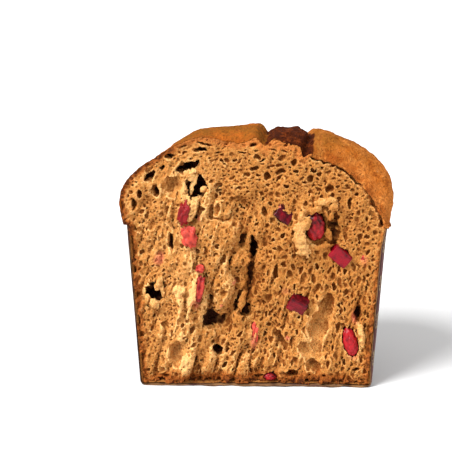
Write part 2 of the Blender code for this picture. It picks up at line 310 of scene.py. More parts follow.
outside = corner_arc(case_radius(CASE_CORNER), 0.0, CASE_CORNER, 5)
outside += [(case_radius(height * MM), height * MM) for height in (16, 30, 48, 66, 84, 98, 106, 110)]
inside = [(radius_out - PAPER, max(PAPER, height)) for radius_out, height in outside]
bm = turned([(0.0, 0.0), *outside, *reversed(inside), (0.0, PAPER)], RIBS * RIB_STEPS)
for vert in bm.verts:
    radius = math.hypot(vert.co.x, vert.co.y)
    if radius < BASE_RADIUS - CASE_CORNER:
        continue
    turn = math.atan2(vert.co.y, vert.co.x) / math.tau * RIBS
    trough = (0.5 - 0.5 * math.cos(turn * math.tau)) ** 2
    fold = RIB_DEPTH * trough * min(1.0, vert.co.z / CASE_CORNER + 0.15)
    ripple = RIPPLE * noise.noise(vert.co / RIPPLE_SIZE) * (vert.co.z / CASE_HEIGHT) ** 2 - SHRUNK_IN
    shrunk = (radius - fold + ripple) / radius
    vert.co.x *= shrunk
    vert.co.y *= shrunk
    if vert.co.z > CASE_HEIGHT - RIM_BAND:
        vert.co.z -= RIM_RAGGED * (0.5 + 0.5 * noise.noise(vert.co / RIM_RAGGED_SIZE))
rim = cut_through(bm)
on_cut = {vert for edge in rim for vert in edge.verts}
edge_faces = bmesh.ops.contextual_create(bm, geom=rim)["faces"]
for vert in bm.verts:
    vert.co.x -= bend_of(vert.co.x, vert.co.y, vert.co.z)
for vert in on_cut:
    if vert.co.z < BASE_BAND:
        vert.co.y -= BASE_PROUD * (0.4 + 1.6 * noise.noise(Vector((vert.co.x / BASE_PROUD_SIZE, 0.0, 5.0))))
        vert.co.z += max(0.0, BASE_LIFTED * noise.noise(Vector((vert.co.x / BASE_LIFTED_SIZE, 7.0, 0.0))))
    elif vert.co.x < 0.0:
        vert.co.y += LEFT_TORN_BACK * (1.0 + noise.noise(Vector((0.0, 2.0, vert.co.z / LEFT_TORN_SIZE))))
bmesh.ops.recalc_face_normals(bm, faces=bm.faces)
for face in bm.faces:
    middle = face.calc_center_median()
    outwards = Vector((middle.x, middle.y, 0.0)).normalized()
    if face.normal.dot(outwards) < -0.3 or face.normal.z > 0.5:
        face.material_index = 1
for face in edge_faces:
    face.material_index = 1
paper_wall = piece_from(bm, "paper_wall", paper)
paper_wall.data.materials.append(bare_paper)
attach(paper_wall, "root")
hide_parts("paper_case")

# The crust is the baked skin of the loaf: thin and soft inside the case, drier and browner over the dome,
# where it split as it rose into two flaps with a dark, blistered tear between them.
PAPER_ROOM = 1.3 * MM
DOME_RADIUS = 90.4 * MM
DOME_EQUATOR = 126.0 * MM
DOME_TOP = 172.0 * MM
DOME_POWER = 2.35
LIP_RADIUS = 87.0 * MM
LIP_FADE = 12.0 * MM
LIP_LIFT = 0.3 * MM
LIP_HELD = 0.6 * MM
CAP_RADIUS = 60.0 * MM
CAP_SMOOTHINGS = 12
TURN_STEPS = 720
LIP_ROWS = 16
DOME_ROWS = 44
ROLL_HUB = Vector((0.0, 0.0, 100.0 * MM))
ROLL_REACH = 24.0 * MM
ROLL_POWER = 0.75
ROLL_STOPS = (
    (5, 1.0), (9, 5.0), (16, 11.5), (23, 15.5), (32, 17.0), (43, 15.6), (52, 14.2), (58, 14.4), (62, 10.6),
    (66, 7.4), (76, 6.0), (81, 2.2), (90, 3.6), (97, 6.6), (101, 6.4), (106, 4.6), (112, 2.4), (118, 0.0),
)
SLUMP = 5.6 * MM
SLUMP_ANGLE = 142.0
SLUMP_SPREAD = 15.0
SINK = 6.0 * MM
SINK_ANGLE = 149.0
SINK_SPREAD = 14.0
SINK_BACK = 22.5 * MM
SHOULDER_REACH = 62.0 * MM
POCKET_SINK = 9.5 * MM
SETTLED = 1.0 * MM
LEFT_SPLIT_X = 6.0 * MM
RIGHT_SPLIT_X = 37.0 * MM
SPLIT_WIDTH = 4.2 * MM
CLEFT_WIDTH = 2.7 * MM
CLEFT_SLOPE = 4.4 * MM
SPLIT_DEPTH = 5.5 * MM
SPLIT_WANDER = 5.0 * MM
SPLIT_WANDER_SIZE = 24.0 * MM
SPLIT_RAGGED = 1.4 * MM
SPLIT_RAGGED_DEEP = 5.0 * MM
SPLIT_RAGGED_HIGH = 7.0 * MM
SPLIT_MIDDLE_X = 21.0 * MM
OPENING_BLUR = 8.0 * MM
SIDE_BLUR = 30.0 * MM
FLAP_RISE = 1.6 * MM
FLAP_BACK = 7.0 * MM
LUMP_HEIGHT = 1.5 * MM
LUMP_SIZE = 24.0 * MM
TEAR_EDGE = 1.5 * MM
TEAR_BLUR = 3.0 * MM
BLISTER = 2.0 * MM
BLISTER_SIZE = 6.0 * MM
BLISTER_LEVEL = 0.45
BLISTER_BACK = 7.0 * MM
WRINKLE = 0.6 * MM
WRINKLE_SIZE = 6.0 * MM
FINE_WRINKLE = 0.4 * MM
FINE_WRINKLE_SIZE = 2.6 * MM
CREASE = 0.5 * MM
CREASE_SIZE = 13.0 * MM
CREASE_SHARE = 0.10
SKIN = 0.9 * MM
FLAP_SKIN = 1.5 * MM
FLAP_RAGGED = 0.8
FLAP_RAGGED_SIZE = 3.5 * MM
FLAP_OVERLAP = 2.0 * MM
FLAP_PROUD = 0.5 * MM
RIM_BACK = 0.9 * MM
POCKET_Y = 13.5 * MM
POCKET_TAPER = 0.8 * MM
SWELLS = (
    (-46, 58, 12, 50, 5, 5.0),
    (-13, 60, 14, 40, -4, -5.0),
    (-22, 73, 6, 21, -6, 4.0),
    (-11, 50, 4, 12, -15, 4.0),
    (8, 30, 14, 24, 0, -4.0),
    (28, 106, 6, 15, 0, 3.0),
    (-76, 95, 9, 34, 0, -1.5),
    (52, 60, 24, 40, 0, -1.5),
    (0, 2, 84, 6, 0, -2.0),
)
TEAR_HEIGHT = 1.3 * MM
TEAR_SIZE = 9.0 * MM
CUT_FOLLOW = 16.0 * MM


def dome_height(radius):
    """The height of the plain dome at a radius."""
    rise = max(0.0, 1.0 - (radius / DOME_RADIUS) ** DOME_POWER) ** (1 / DOME_POWER)
    return DOME_EQUATOR + (DOME_TOP - DOME_EQUATOR) * rise


def cake_profile():
    """The whole loaf's profile: base, wall inside the case, lip over the rim, and dome up to its cap."""
    corner = corner_arc(case_radius(CASE_CORNER) - PAPER_ROOM, PAPER_ROOM, CASE_CORNER - PAPER_ROOM, 4)
    wall = []
    for height in range(8, 111, 6):
        wall.append((case_radius(height * MM) - PAPER_ROOM, height * MM))
    over_rim = CASE_HEIGHT + LIP_LIFT
    lip = [(case_radius(CASE_HEIGHT) - PAPER_ROOM, over_rim), (LIP_RADIUS, over_rim)]
    for row in range(1, LIP_ROWS + 1):
        share = row / (LIP_ROWS + 1)
        radius = LIP_RADIUS + (DOME_RADIUS - LIP_RADIUS) * math.sin(math.pi / 2 * share)
        lip.append((radius, over_rim + (DOME_EQUATOR - over_rim) * share))
    dome = []
    for row in range(DOME_ROWS + 1):
        radius = DOME_RADIUS - (DOME_RADIUS - CAP_RADIUS) * (row / DOME_ROWS) ** 2
        dome.append((radius, dome_height(radius)))
    return [(0.0, PAPER_ROOM), *corner, *wall, *lip, *dome]


def add_cap(bm):
    """Closes the top of the turned loaf with a grid that follows the dome, so that it has no pole."""
    rim = [edge for edge in bm.edges if edge.is_boundary]
    middles = {edge: (edge.verts[0].co + edge.verts[1].co) / 2 for edge in rim}
    sides = [edge for edge in rim if abs(middles[edge].x) > abs(middles[edge].y)]
    filled = bmesh.ops.grid_fill(bm, edges=sides)
    on_cap = {vert for face in filled["faces"] for vert in face.verts}
    within = [vert for vert in on_cap if all(edge not in middles for edge in vert.link_edges)]
    for _ in range(CAP_SMOOTHINGS):
        bmesh.ops.smooth_vert(bm, verts=within, factor=0.5, use_axis_x=True, use_axis_y=True)
    for vert in within:
        vert.co.z = dome_height(math.hypot(vert.co.x, vert.co.y))


def roll_in(angle):
    """How far the crust at the cut draws in, at an angle in degrees round ROLL_HUB."""
    for (low, start), (high, end) in zip(ROLL_STOPS, ROLL_STOPS[1:]):
        if low <= angle < high:
            return (start + (end - start) * (angle - low) / (high - low)) * MM
    return 0.0


def inside_split(place):
    """How far a place on the dome lies inside the torn opening, in metres; it closes up towards the back."""
    wander = SPLIT_WANDER * noise.noise(Vector((place.y / SPLIT_WANDER_SIZE, 3.1, 0.0)))
    ragged_at = Vector((place.y / SPLIT_RAGGED_DEEP, 9.1, place.z / SPLIT_RAGGED_HIGH))
    wander += SPLIT_RAGGED * noise.noise(ragged_at)
    close = max(0.0, place.y / DOME_RADIUS) ** 2 * (RIGHT_SPLIT_X - LEFT_SPLIT_X) / 4
    return min(place.x - LEFT_SPLIT_X - wander - close, RIGHT_SPLIT_X + wander - close - place.x)


def leaned(dx, dz, turn):
    """Offsets in x and z read along axes that lean by a turn in radians."""
    cos, sin = math.cos(turn), math.sin(turn)
    return dx * cos + dz * sin, dz * cos - dx * sin


def tear(x, z):
    """How far the torn crumb stands out of the cut plane, in metres, towards the viewer."""
    height = TEAR_HEIGHT * noise.noise(Vector((x / TEAR_SIZE, 0.0, z / (1.6 * TEAR_SIZE))))
    for at_x, at_z, half_width, half_height, lean, rise in SWELLS:
        across, along = leaned(x / MM - at_x, z / MM - at_z, math.radians(lean))
        height += rise * MM * math.exp(-((across / half_width) ** 2) - (along / half_height) ** 2)
    return height


def sunk(angle, y, most):
    """How far the left-hand shoulder lies lower behind the cut, at an angle round ROLL_HUB and a depth."""
    return most * bell(angle - SINK_ANGLE, SINK_SPREAD) * limited((y - CUT_Y) / SINK_BACK)


def shaped(vert):
    """Moves one point of the plain dome to its place on the baked one."""
    place = vert.co.copy()
    outward = (place - ROLL_HUB).normalized()
    angle = math.degrees(math.atan2(place.z - ROLL_HUB.z, place.x))
    inside = inside_split(place)
    flap_edge = FLAP_RISE * bell(inside + FLAP_BACK, FLAP_BACK)
    cleft_width = CLEFT_WIDTH if inside < 0.0 else CLEFT_SLOPE
    split_width = cleft_width if place.x > SPLIT_MIDDLE_X else SPLIT_WIDTH
    split = SPLIT_DEPTH * bell(inside, split_width)
    stands = flap_edge - split + noise.noise(place / LUMP_SIZE) * LUMP_HEIGHT
    slump = SLUMP * bell(angle - SLUMP_ANGLE, SLUMP_SPREAD)
    forward = 1.0 - limited((place.y - CUT_Y) / ROLL_REACH)
    roll = roll_in(angle) * (1.0 - (1.0 - forward ** 2) ** ROLL_POWER)
    above_rim = min(1.0, (place.z - CASE_HEIGHT) / LIP_FADE)
    off_axis = min(1.0, math.hypot(place.x, place.z - ROLL_HUB.z) / SHOULDER_REACH) ** 3
    slump = (slump + sunk(angle, place.y, SINK)) * off_axis
    in_tear = limited((inside + TEAR_EDGE) / TEAR_BLUR)
    off_cut = limited((place.y - CUT_Y) / BLISTER_BACK)
    blister = BLISTER * (abs(noise.noise(place / BLISTER_SIZE)) - BLISTER_LEVEL) * in_tear * off_cut
    wrinkle = WRINKLE * noise.noise(place / WRINKLE_SIZE)
    wrinkle += FINE_WRINKLE * noise.noise(place / FINE_WRINKLE_SIZE)
    crease_line = max(0.0, CREASE_SHARE - abs(noise.noise(place / CREASE_SIZE)))
    crease = CREASE * crease_line / CREASE_SHARE * (1.0 - in_tear)
    raised = (stands + blister + wrinkle - crease) * above_rim
    vert.co += outward * (raised - slump - roll - SETTLED * outward.z ** 2)


def loop_of(edges):
    """The points of a closed run of edges, in order."""
    start = edges[0].verts[0]
    onward = {}
    for edge in edges:
        for vert in edge.verts:
            onward.setdefault(vert, []).append(edge.other_vert(vert))
    order = [start, onward[start][0]]
    while len(order) < len(edges):
        step = [vert for vert in onward[order[-1]] if vert is not order[-2]]
        order.append(step[0])
    return order


bm = turned(cake_profile(), TURN_STEPS)
add_cap(bm)
for vert in bm.verts:
    if vert.co.z > CASE_HEIGHT + LIP_HELD:
        shaped(vert)
rim = cut_through(bm)
for vert in bm.verts:
    follow = max(0.0, 1.0 - (vert.co.y - CUT_Y) / CUT_FOLLOW)
    if follow:
        vert.co.y -= tear(vert.co.x, vert.co.z) * follow ** 2
        vert.co.x -= bend_of(vert.co.x, vert.co.y, vert.co.z)
outer_loop = loop_of(rim)
crust_line = [Vector((vert.co.x, vert.co.z)) for vert in outer_loop]
area = sum(a.x * b.y - b.x * a.y for a, b in zip(crust_line, crust_line[1:] + crust_line[:1]))
if area < 0:
    outer_loop.reverse()
    crust_line.reverse()
inner = bmesh.ops.extrude_edge_only(bm, edges=rim)
inner_edges = [item for item in inner["geom"] if isinstance(item, bmesh.types.BMEdge) and item.is_boundary]
partner = {}
kept = set(rim) | set(inner_edges)
for face in {face for edge in inner_edges for face in edge.link_faces}:
    for edge in face.edges:
        if edge not in kept:
            first, second = edge.verts
            partner[first], partner[second] = second, first
count = len(outer_loop)
for index, vert in enumerate(outer_loop):
    ahead = crust_line[(index + 2) % count] - crust_line[index - 2]
    inward = Vector((-ahead.y, ahead.x)).normalized()
    flap = vert.co.z > CASE_HEIGHT and vert.co.x > RIGHT_SPLIT_X - FLAP_OVERLAP
    thick = FLAP_SKIN * (1.0 + FLAP_RAGGED * noise.noise(vert.co / FLAP_RAGGED_SIZE)) if flap else SKIN
    moved = partner[vert]
    moved.co.x += inward.x * thick
    moved.co.z += inward.y * thick
    moved.co.y += -FLAP_PROUD if flap else RIM_BACK
    vert.co.y += 0.0 if flap else RIM_BACK
back = bmesh.ops.extrude_edge_only(bm, edges=inner_edges)
back_edges = [item for item in back["geom"] if isinstance(item, bmesh.types.BMEdge) and item.is_boundary]
for vert in {vert for edge in back_edges for vert in edge.verts}:
    vert.co.y = POCKET_Y
    way = Vector((vert.co.x - ROLL_HUB.x, 0.0, vert.co.z - ROLL_HUB.z)).normalized()
    vert.co -= way * (sunk(math.degrees(math.atan2(way.z, way.x)), POCKET_Y, POCKET_SINK) + POCKET_TAPER)
bmesh.ops.contextual_create(bm, geom=back_edges)
bmesh.ops.recalc_face_normals(bm, faces=bm.faces)
split_layer = bm.verts.layers.float.new("opening")
side_layer = bm.verts.layers.float.new("side")
for vert in bm.verts:
    vert[split_layer] = limited(0.5 + inside_split(vert.co) / OPENING_BLUR)
    vert[side_layer] = limited(0.5 + (vert.co.x - SPLIT_MIDDLE_X) / SIDE_BLUR)

FLAP_ORANGE = (0.47, 0.125, 0.014, 1.0)
FLAP_PALE = (0.70, 0.245, 0.050, 1.0)
FLAP_OLIVE = (0.20, 0.078, 0.010, 1.0)
FLAP_RED = (0.27, 0.055, 0.009, 1.0)
BAKED_DARK_AND_PIT_SHADE = (0.050, 0.010, 0.003, 1.0)
TEAR_BROWN = (0.030, 0.0045, 0.0012, 1.0)
TEAR_AMBER = (0.115, 0.022, 0.0035, 1.0)
CRUST_UNDER = (0.36, 0.14, 0.032, 1.0)
crust, crust_shader, place = finish_nodes("baked_crust", Roughness=0.6, Specular_IOR_Level=0.03)
opening = place.attribute("opening")
side = place.attribute("side")
height = place.part(2)
broad = place.clouds(22.0 * MM, 4.0, 0.6)
patches = place.clouds(7.0 * MM, 4.0, 0.65, at=(1.0, 2.0, 0.0))
fine = place.clouds(1.6 * MM, 5.0, 0.7)
pores = place.cells(2.4 * MM).rise(0.26, 0.05) * patches.rise(0.40, 0.62)
tiny_pores = place.cells(1.0 * MM, at=(3.0, 0.0, 0.0)).rise(0.36, 0.12)
cracks = place.cells(8.0 * MM, "DISTANCE_TO_EDGE").rise(0.045, 0.0) * broad.rise(0.42, 0.62)
right_flap = patches.rise(0.38, 0.66).blend(FLAP_ORANGE, FLAP_PALE)
left_flap = patches.rise(0.30, 0.58).blend(FLAP_OLIVE, FLAP_ORANGE)
flaps = side.rise(0.3, 0.7).blend(left_flap, right_flap)
pale_low = side.rise(0.6, 1.0) * height.rise(156.0 * MM, 120.0 * MM) * broad.rise(0.30, 0.60) * 0.7
flaps = pale_low.blend(flaps, FLAP_PALE)
flaps = (height.rise(140.0 * MM, 166.0 * MM) * broad.rise(0.70, 0.42) * 0.7).blend(flaps, FLAP_OLIVE)
flaps = (patches.rise(0.45, 0.30) * 0.55).blend(flaps, FLAP_RED)
flaps = (fine.rise(0.48, 0.34) * 0.6).blend(flaps, BAKED_DARK_AND_PIT_SHADE)
torn = fine.rise(0.42, 0.70).blend(TEAR_BROWN, TEAR_AMBER)
torn = patches.rise(0.55, 0.35).blend(torn, BAKED_DARK_AND_PIT_SHADE)
in_opening = (opening + (fine - 0.5) * 0.3).rise(0.45, 0.62)
depth = place.part(1)
baked_edge = depth.rise(CUT_Y + 7.0 * MM, CUT_Y - 1.0 * MM) * patches.rise(0.62, 0.42) * 0.6
flaps = baked_edge.blend(flaps, FLAP_RED)
surface = in_opening.blend(flaps, torn)
# Painted shade: pores and cracks are darkened, as by the shade in them; the pores are sunk only by the bump.
surface = (pores * 0.75 + cracks * 0.15).blend(surface, BAKED_DARK_AND_PIT_SHADE)
surface = height.rise(112.0 * MM, 109.0 * MM).blend(surface, CRUST_UNDER)
granular = place.clouds(0.8 * MM, 3.0, 0.6, at=(5.0, 0.0, 0.0))
folds = (place.clouds(4.2 * MM, 3.0, 0.6, at=(0.0, 6.0, 0.0)) - 0.5).maths("ABSOLUTE").rise(0.0, 0.10)
# Partly painted shade: the fold lines, which the bump sinks, turn darker red, as do random patches.
surface = ((1.0 - folds) * patches.rise(0.42, 0.60) * 0.45).blend(surface, FLAP_RED)
surface = (granular.rise(0.50, 0.30) * 0.35).blend(surface, BAKED_DARK_AND_PIT_SHADE)
relief = fine * 0.9 + patches * 0.6 + pores * -0.8 + tiny_pores * -0.5 + granular * 0.6 + folds * 0.35
feed(
    crust_shader,
    Base_Color=surface,
    Roughness=0.84 - in_opening * 0.18 + (fine - 0.5) * 0.25,
    Normal=relief.bump(1.0, 0.9 * MM),
)
crust_skin = piece_from(bm, "crust", crust)
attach(crust_skin, "root")
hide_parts("cake")

# The crumb is the torn yeast sponge inside: open cells of all sizes in buttery yellow walls, some of them
# big and smooth, some torn black holes. It is grown as a block of small cells filled or left empty, then
# skinned.
CELL = 0.5 * MM
LOW = Vector((-88.0 * MM, -17.0 * MM, 0.5 * MM))
CELLS_ACROSS = (352, 60, 342)
CRUMB_BACK = POCKET_Y - 0.3 * MM
CRUST_SINK = 0.25 * MM
CRUMB_TRIANGLES = 385000
CRUMB_PARTING = -9.0 * MM
FIBRE_LEAN = 0.26
NO_HOLE = 9.0 * MM
MOST_PROUD = 7.4 * MM
EDGE_REACH = 4.5 * MM
# Where the crumb was pulled apart, and where it was drawn into long threads; in mm
TORN_X = -34.0
TORN_HALF = 34.0
TORN_TOP = 150.0
TORN_FADE = 30.0
TORN_LEAST = 0.15
DRAWN_X = 4.0
DRAWN_X_FADE = 12.0
DRAWN_TOP = 88.0
DRAWN_FADE = 20.0
# Where the crumb is ragged along its crust: at the left, and low down
EDGE_X = 20.0
EDGE_X_FADE = 40.0
EDGE_LOW = 14.0
EDGE_LOW_FADE = 6.0
xs, ys, zs = [LOW[axis] + CELL * np.arange(CELLS_ACROSS[axis], dtype=np.float32) for axis in range(3)]
dice = np.random.default_rng(20)


def spread_weights(count, knots):
    """Weights that spread a few knots over many cells, smoothly."""
    at = np.linspace(0.0, knots - 1.001, count)
    whole = at.astype(int)
    part = at - whole
    part = part * part * (3.0 - 2.0 * part)
    weights = np.zeros((count, knots), np.float32)
    weights[np.arange(count), whole] = 1.0 - part
    weights[np.arange(count), whole + 1] = part
    return weights


def random_lumps(size, stretch=(1.0, 1.0, 1.0)):
    """Smooth random lumps of a size in metres through the whole block, from about -1 to 1."""
    knots = [max(3, int(CELLS_ACROSS[axis] * CELL / (size * stretch[axis])) + 2) for axis in range(3)]
    lumps = dice.uniform(-1.0, 1.0, knots).astype(np.float32)
    for axis in range(3):
        weights = spread_weights(CELLS_ACROSS[axis], knots[axis])
        lumps = np.moveaxis(np.tensordot(weights, lumps, axes=(1, axis)), 0, axis)
    return lumps


def spread_map(value_at):
    """A slow function of x and z, worked out every few cells and spread evenly between."""
    step = 4
    coarse = np.array([[value_at(x, z) for z in zs[::step]] for x in xs[::step]])
    wide, tall = [np.arange(count) * step for count in coarse.shape]
    rows = np.array([np.interp(np.arange(CELLS_ACROSS[2]), tall, row) for row in coarse])
    columns = [np.interp(np.arange(CELLS_ACROSS[0]), wide, column) for column in rows.T]
    return np.array(columns, np.float32).T


def leaning(field):
    """The field with each layer moved sideways by its height, so that its forms lean."""
    for row in range(CELLS_ACROSS[2]):
        field[:, :, row] = np.roll(field[:, :, row], int(FIBRE_LEAN * row), axis=0)
    return field


rough = random_lumps(2.4 * MM) * 0.6 + random_lumps(1.2 * MM) * 0.4
fibres = leaning(1.0 - 2.0 * np.abs(random_lumps(2.6 * MM, (1.0, 1.5, 3.2))))
streaks = leaning(1.0 - 2.0 * np.abs(random_lumps(4.6 * MM, (1.0, 1.5, 3.0))))
billows = leaning(2.0 * np.abs(random_lumps(8.0 * MM, (1.0, 1.3, 2.2))) - 0.8)
lumps = random_lumps(6.5 * MM, (1.0, 1.0, 1.5))
ragged = random_lumps(3.0 * MM)
tear_map = spread_map(tear)
across_mm = (xs / MM)[:, None, None]
up_mm = (zs / MM)[None, None, :]
torn_low = np.clip((TORN_TOP - up_mm) / TORN_FADE, TORN_LEAST, 1.0)
torn_zone = (np.exp(-(((across_mm - TORN_X) / TORN_HALF) ** 2)) * torn_low).astype(np.float32)
drawn_low = np.clip((DRAWN_TOP - up_mm) / DRAWN_FADE, 0.0, 1.0)
drawn_zone = (np.clip((across_mm - DRAWN_X) / DRAWN_X_FADE, 0.0, 1.0) * drawn_low).astype(np.float32)
# Each kind of relief in mm, first everywhere, then more of it in the torn and in the drawn zone
crumb = (CUT_Y - tear_map)[:, None, :] - ys[None, :, None]
crumb = crumb + rough * (0.5 + 0.3 * torn_zone) * MM
crumb -= fibres * (0.25 + 0.5 * torn_zone + 0.5 * drawn_zone) * MM
crumb -= (streaks * (0.3 + 1.0 * torn_zone + 0.5 * drawn_zone) + lumps * (0.4 + 1.4 * torn_zone)) * MM
crumb -= billows * (3.6 * torn_zone + 0.7) * MM
crumb += 1.2 * torn_zone * MM
holes = np.full(CELLS_ACROSS, NO_HOLE, np.float32)
cells = np.full(CELLS_ACROSS, NO_HOLE, np.float32)

line_tree = kdtree.KDTree(len(crust_line))
for index, point in enumerate(crust_line):
    line_tree.insert((point.x, 0.0, point.y), index)
line_tree.balance()
line_points = np.array([tuple(point) for point in crust_line])
next_points = np.roll(line_points, -1, axis=0)
crust_depth = np.zeros((CELLS_ACROSS[0], CELLS_ACROSS[2]), np.float32)
for column, z in enumerate(zs):
    crossing = (line_points[:, 1] > z) != (next_points[:, 1] > z)
    lower, upper = line_points[crossing], next_points[crossing]
    share = (z - lower[:, 1]) / (upper[:, 1] - lower[:, 1])
    at = np.sort(lower[:, 0] + share * (upper[:, 0] - lower[:, 0]))
    within = np.searchsorted(at, xs) % 2 == 1
    away = np.array([line_tree.find((x, 0.0, z))[2] for x in xs])
    crust_depth[:, column] = np.where(within, away, -away)
left_half = np.clip((EDGE_X - across_mm) / EDGE_X_FADE, 0.0, 1.0)
low_down = np.clip((EDGE_LOW - up_mm) / EDGE_LOW_FADE, 0.0, 1.0)
edge_share = np.clip(left_half * (up_mm < TORN_TOP) + low_down, 0.0, 1.0)
edge_zone = np.exp(-((crust_depth[:, None, :] / EDGE_REACH) ** 2)) * edge_share
crumb += (edge_zone * (0.3 + 2.4 * ragged + 1.2 * rough) * MM).astype(np.float32)
crumb = np.maximum(crumb, (CUT_Y - MOST_PROUD - ys)[None, :, None]).astype(np.float32)


def pushed(field):
    """The field read a little to the side of each cell, by uneven lumps, so that its forms are uneven."""
    columns = np.clip(np.arange(CELLS_ACROSS[0])[:, None, None] + sideways, 0, CELLS_ACROSS[0] - 1.001)
    rows = np.clip(np.arange(CELLS_ACROSS[2])[None, None, :] + upwards, 0, CELLS_ACROSS[2] - 1.001)
    left, low = columns.astype(np.int32), rows.astype(np.int32)
    right_share, up_share = (columns - left).astype(np.float32), (rows - low).astype(np.float32)
    layer = np.arange(CELLS_ACROSS[1])[None, :, None]
    lower = field[left, layer, low] * (1 - right_share) + field[left + 1, layer, low] * right_share
    upper = field[left, layer, low + 1] * (1 - right_share) + field[left + 1, layer, low + 1] * right_share
    return lower * (1 - up_share) + upper * up_share


# How many cells each place is read to the side and higher up
sideways, upwards = [random_lumps(3.6 * MM) * 2.4 + random_lumps(1.6 * MM) * 1.2 for _ in range(2)]


def egg_in(centre, radii, lean, uneven, margin):
    """The part of the block round an egg-shaped form, and how far each of its cells lies outside the form."""
    span = max(radii) * 1.15 + margin
    part = []
    for axis in range(3):
        first = max(0, int((centre[axis] - span - LOW[axis]) / CELL))
        last = min(CELLS_ACROSS[axis], int((centre[axis] + span - LOW[axis]) / CELL) + 2)
        part.append(slice(first, max(first, last)))
    dx = (xs[part[0]] - centre[0])[:, None, None]
    dy = (ys[part[1]] - centre[1])[None, :, None] / radii[1]
    dz = (zs[part[2]] - centre[2])[None, None, :]
    across, along = leaned(dx, dz, lean)
    across, along = across / radii[0], along / radii[2]
    away = np.sqrt(across * across + dy * dy + along * along)
    if uneven:
        away += rough[tuple(part)] * uneven
    return tuple(part), (away - 1.0) * min(radii)


def hollow(store, centre, radii, lean=0.0, uneven=0.0):
    """Adds an egg-shaped hole to a store of holes."""
    part, outside = egg_in(centre, radii, lean, uneven, 2.2 * MM)
    store[part] = np.minimum(store[part], outside)


def grow(centre, radii, lean=0.0, uneven=0.0):
    """Adds an egg-shaped bit to the crumb."""
    part, outside = egg_in(centre, radii, lean, uneven, MM)
    crumb[part] = np.minimum(crumb[part], outside)


# Holes at the cut: x, z, half width, half height, lean (anticlockwise), depth, unevenness; in mm
TORN_HOLES = (
    (-39, 136, 8.0, 9.2, -30, 17, 0.45),
    (-44.6, 148.7, 9.8, 3.4, 22, 13, 0.40),
    (-36, 159.7, 5.0, 1.5, 4, 8, 0.20),
    (-56, 155.6, 3.2, 1.9, 20, 8, 0.20),
    (-60.6, 147.6, 2.4, 1.5, 10, 6, 0.20),
    (-68.7, 142.4, 5.0, 2.6, 40, 8, 0.25),
    (-65.3, 132.9, 3.0, 4.0, 0, 8, 0.15),
    (-75.3, 130.5, 1.8, 3.0, 0, 6, 0.20),
    (-80, 124.2, 2.1, 4.0, 0, 6, 0.20),
    (-56, 99.1, 1.9, 6.9, 0, 9, 0.35),
    (-66.6, 64.8, 7.0, 9.5, -35, 16, 0.45),
    (-9.3, 100.4, 2.4, 6.6, -20, 8, 0.35),
    (-2.2, 94.7, 2.8, 9.4, 0, 15, 0.40),
    (-29.5, 46.5, 6.4, 8.2, -24, 10, 0.35),
    (-21.5, 44.5, 4.0, 5.5, -10, 7, 0.35),
    (-4.6, 72.0, 3.4, 17.0, -4, 7, 0.45),
    (-12.0, 58.0, 2.4, 9.0, -20, 8, 0.40),
    (-7.5, 53, 4.5, 7.6, 0, 10, 0.45),
    (-25.6, 24.3, 3.2, 4.8, 25, 12, 0.35),
    (-36, 21.5, 3.0, 5.4, 0, 4, 0.25),
    (16, 32.3, 3.6, 8.4, 30, 5, 0.25),
    (66.5, 51, 3.0, 5.6, 0, 9, 0.35),
    (49.2, 107, 5.2, 13.0, 0, 6, 0.40),
    (38.0, 109, 8.5, 12.5, 8, 5, 0.35),
    (22.9, 8.9, 7.4, 2.0, 0, 8, 0.35),
    (-38, 5.8, 2.4, 1.6, 0, 5, 0.20),
    (12.2, 79.7, 1.8, 6.0, 0, 3.5, 0.20),
    (59.6, 125.7, 1.4, 3.4, 0, 5, 0.15),
    (-33.6, 163.8, 5.4, 0.9, -3, 5, 0.30),
    (-47.5, 162.4, 3.6, 0.8, 18, 4, 0.30),
    (-2.4, 162.6, 3.2, 1.6, 20, 5, 0.30),
    (3.0, 153.6, 2.8, 0.8, 25, 4, 0.20),
    (-25.1, 157.9, 3.2, 0.8, 4, 4, 0.20),
    (-10.5, 158.4, 3.0, 0.8, -6, 4, 0.20),
    (-0.3, 159.0, 1.6, 0.7, 10, 3, 0.20),
    (10.0, 160.4, 3.4, 0.6, -8, 3, 0.20),
    (17.0, 158.6, 2.2, 0.7, -14, 3, 0.20),
    (41.5, 153.8, 4.6, 1.3, -4, 8, 0.25),
    (80.6, 112.4, 2.2, 3.0, -35, 7, 0.25),
    (-45.0, 12.0, 2.0, 1.2, 0, 4, 0.25),
    (-78.0, 46.0, 2.4, 3.2, 0, 6, 0.40),
    (-76.5, 35.5, 2.0, 2.2, 0, 5, 0.40),
    (-80.5, 80.0, 2.2, 3.0, 0, 5, 0.40),
    (-82.0, 98.0, 2.0, 4.6, 0, 5, 0.40),
    (-74.6, 22.0, 1.9, 2.8, 0, 4, 0.40),
    (-79.6, 62.5, 3.0, 2.0, 10, 5, 0.40),
    (-73.5, 10.0, 2.6, 1.8, 0, 4, 0.40),
    (-60.0, 6.5, 3.0, 1.4, 10, 5, 0.40),
    (1.0, 6.0, 3.4, 1.5, 0, 5, 0.40),
    (45.0, 7.0, 2.6, 1.3, 0, 5, 0.40),
    (66.0, 12.0, 2.6, 1.8, 20, 5, 0.40),
)
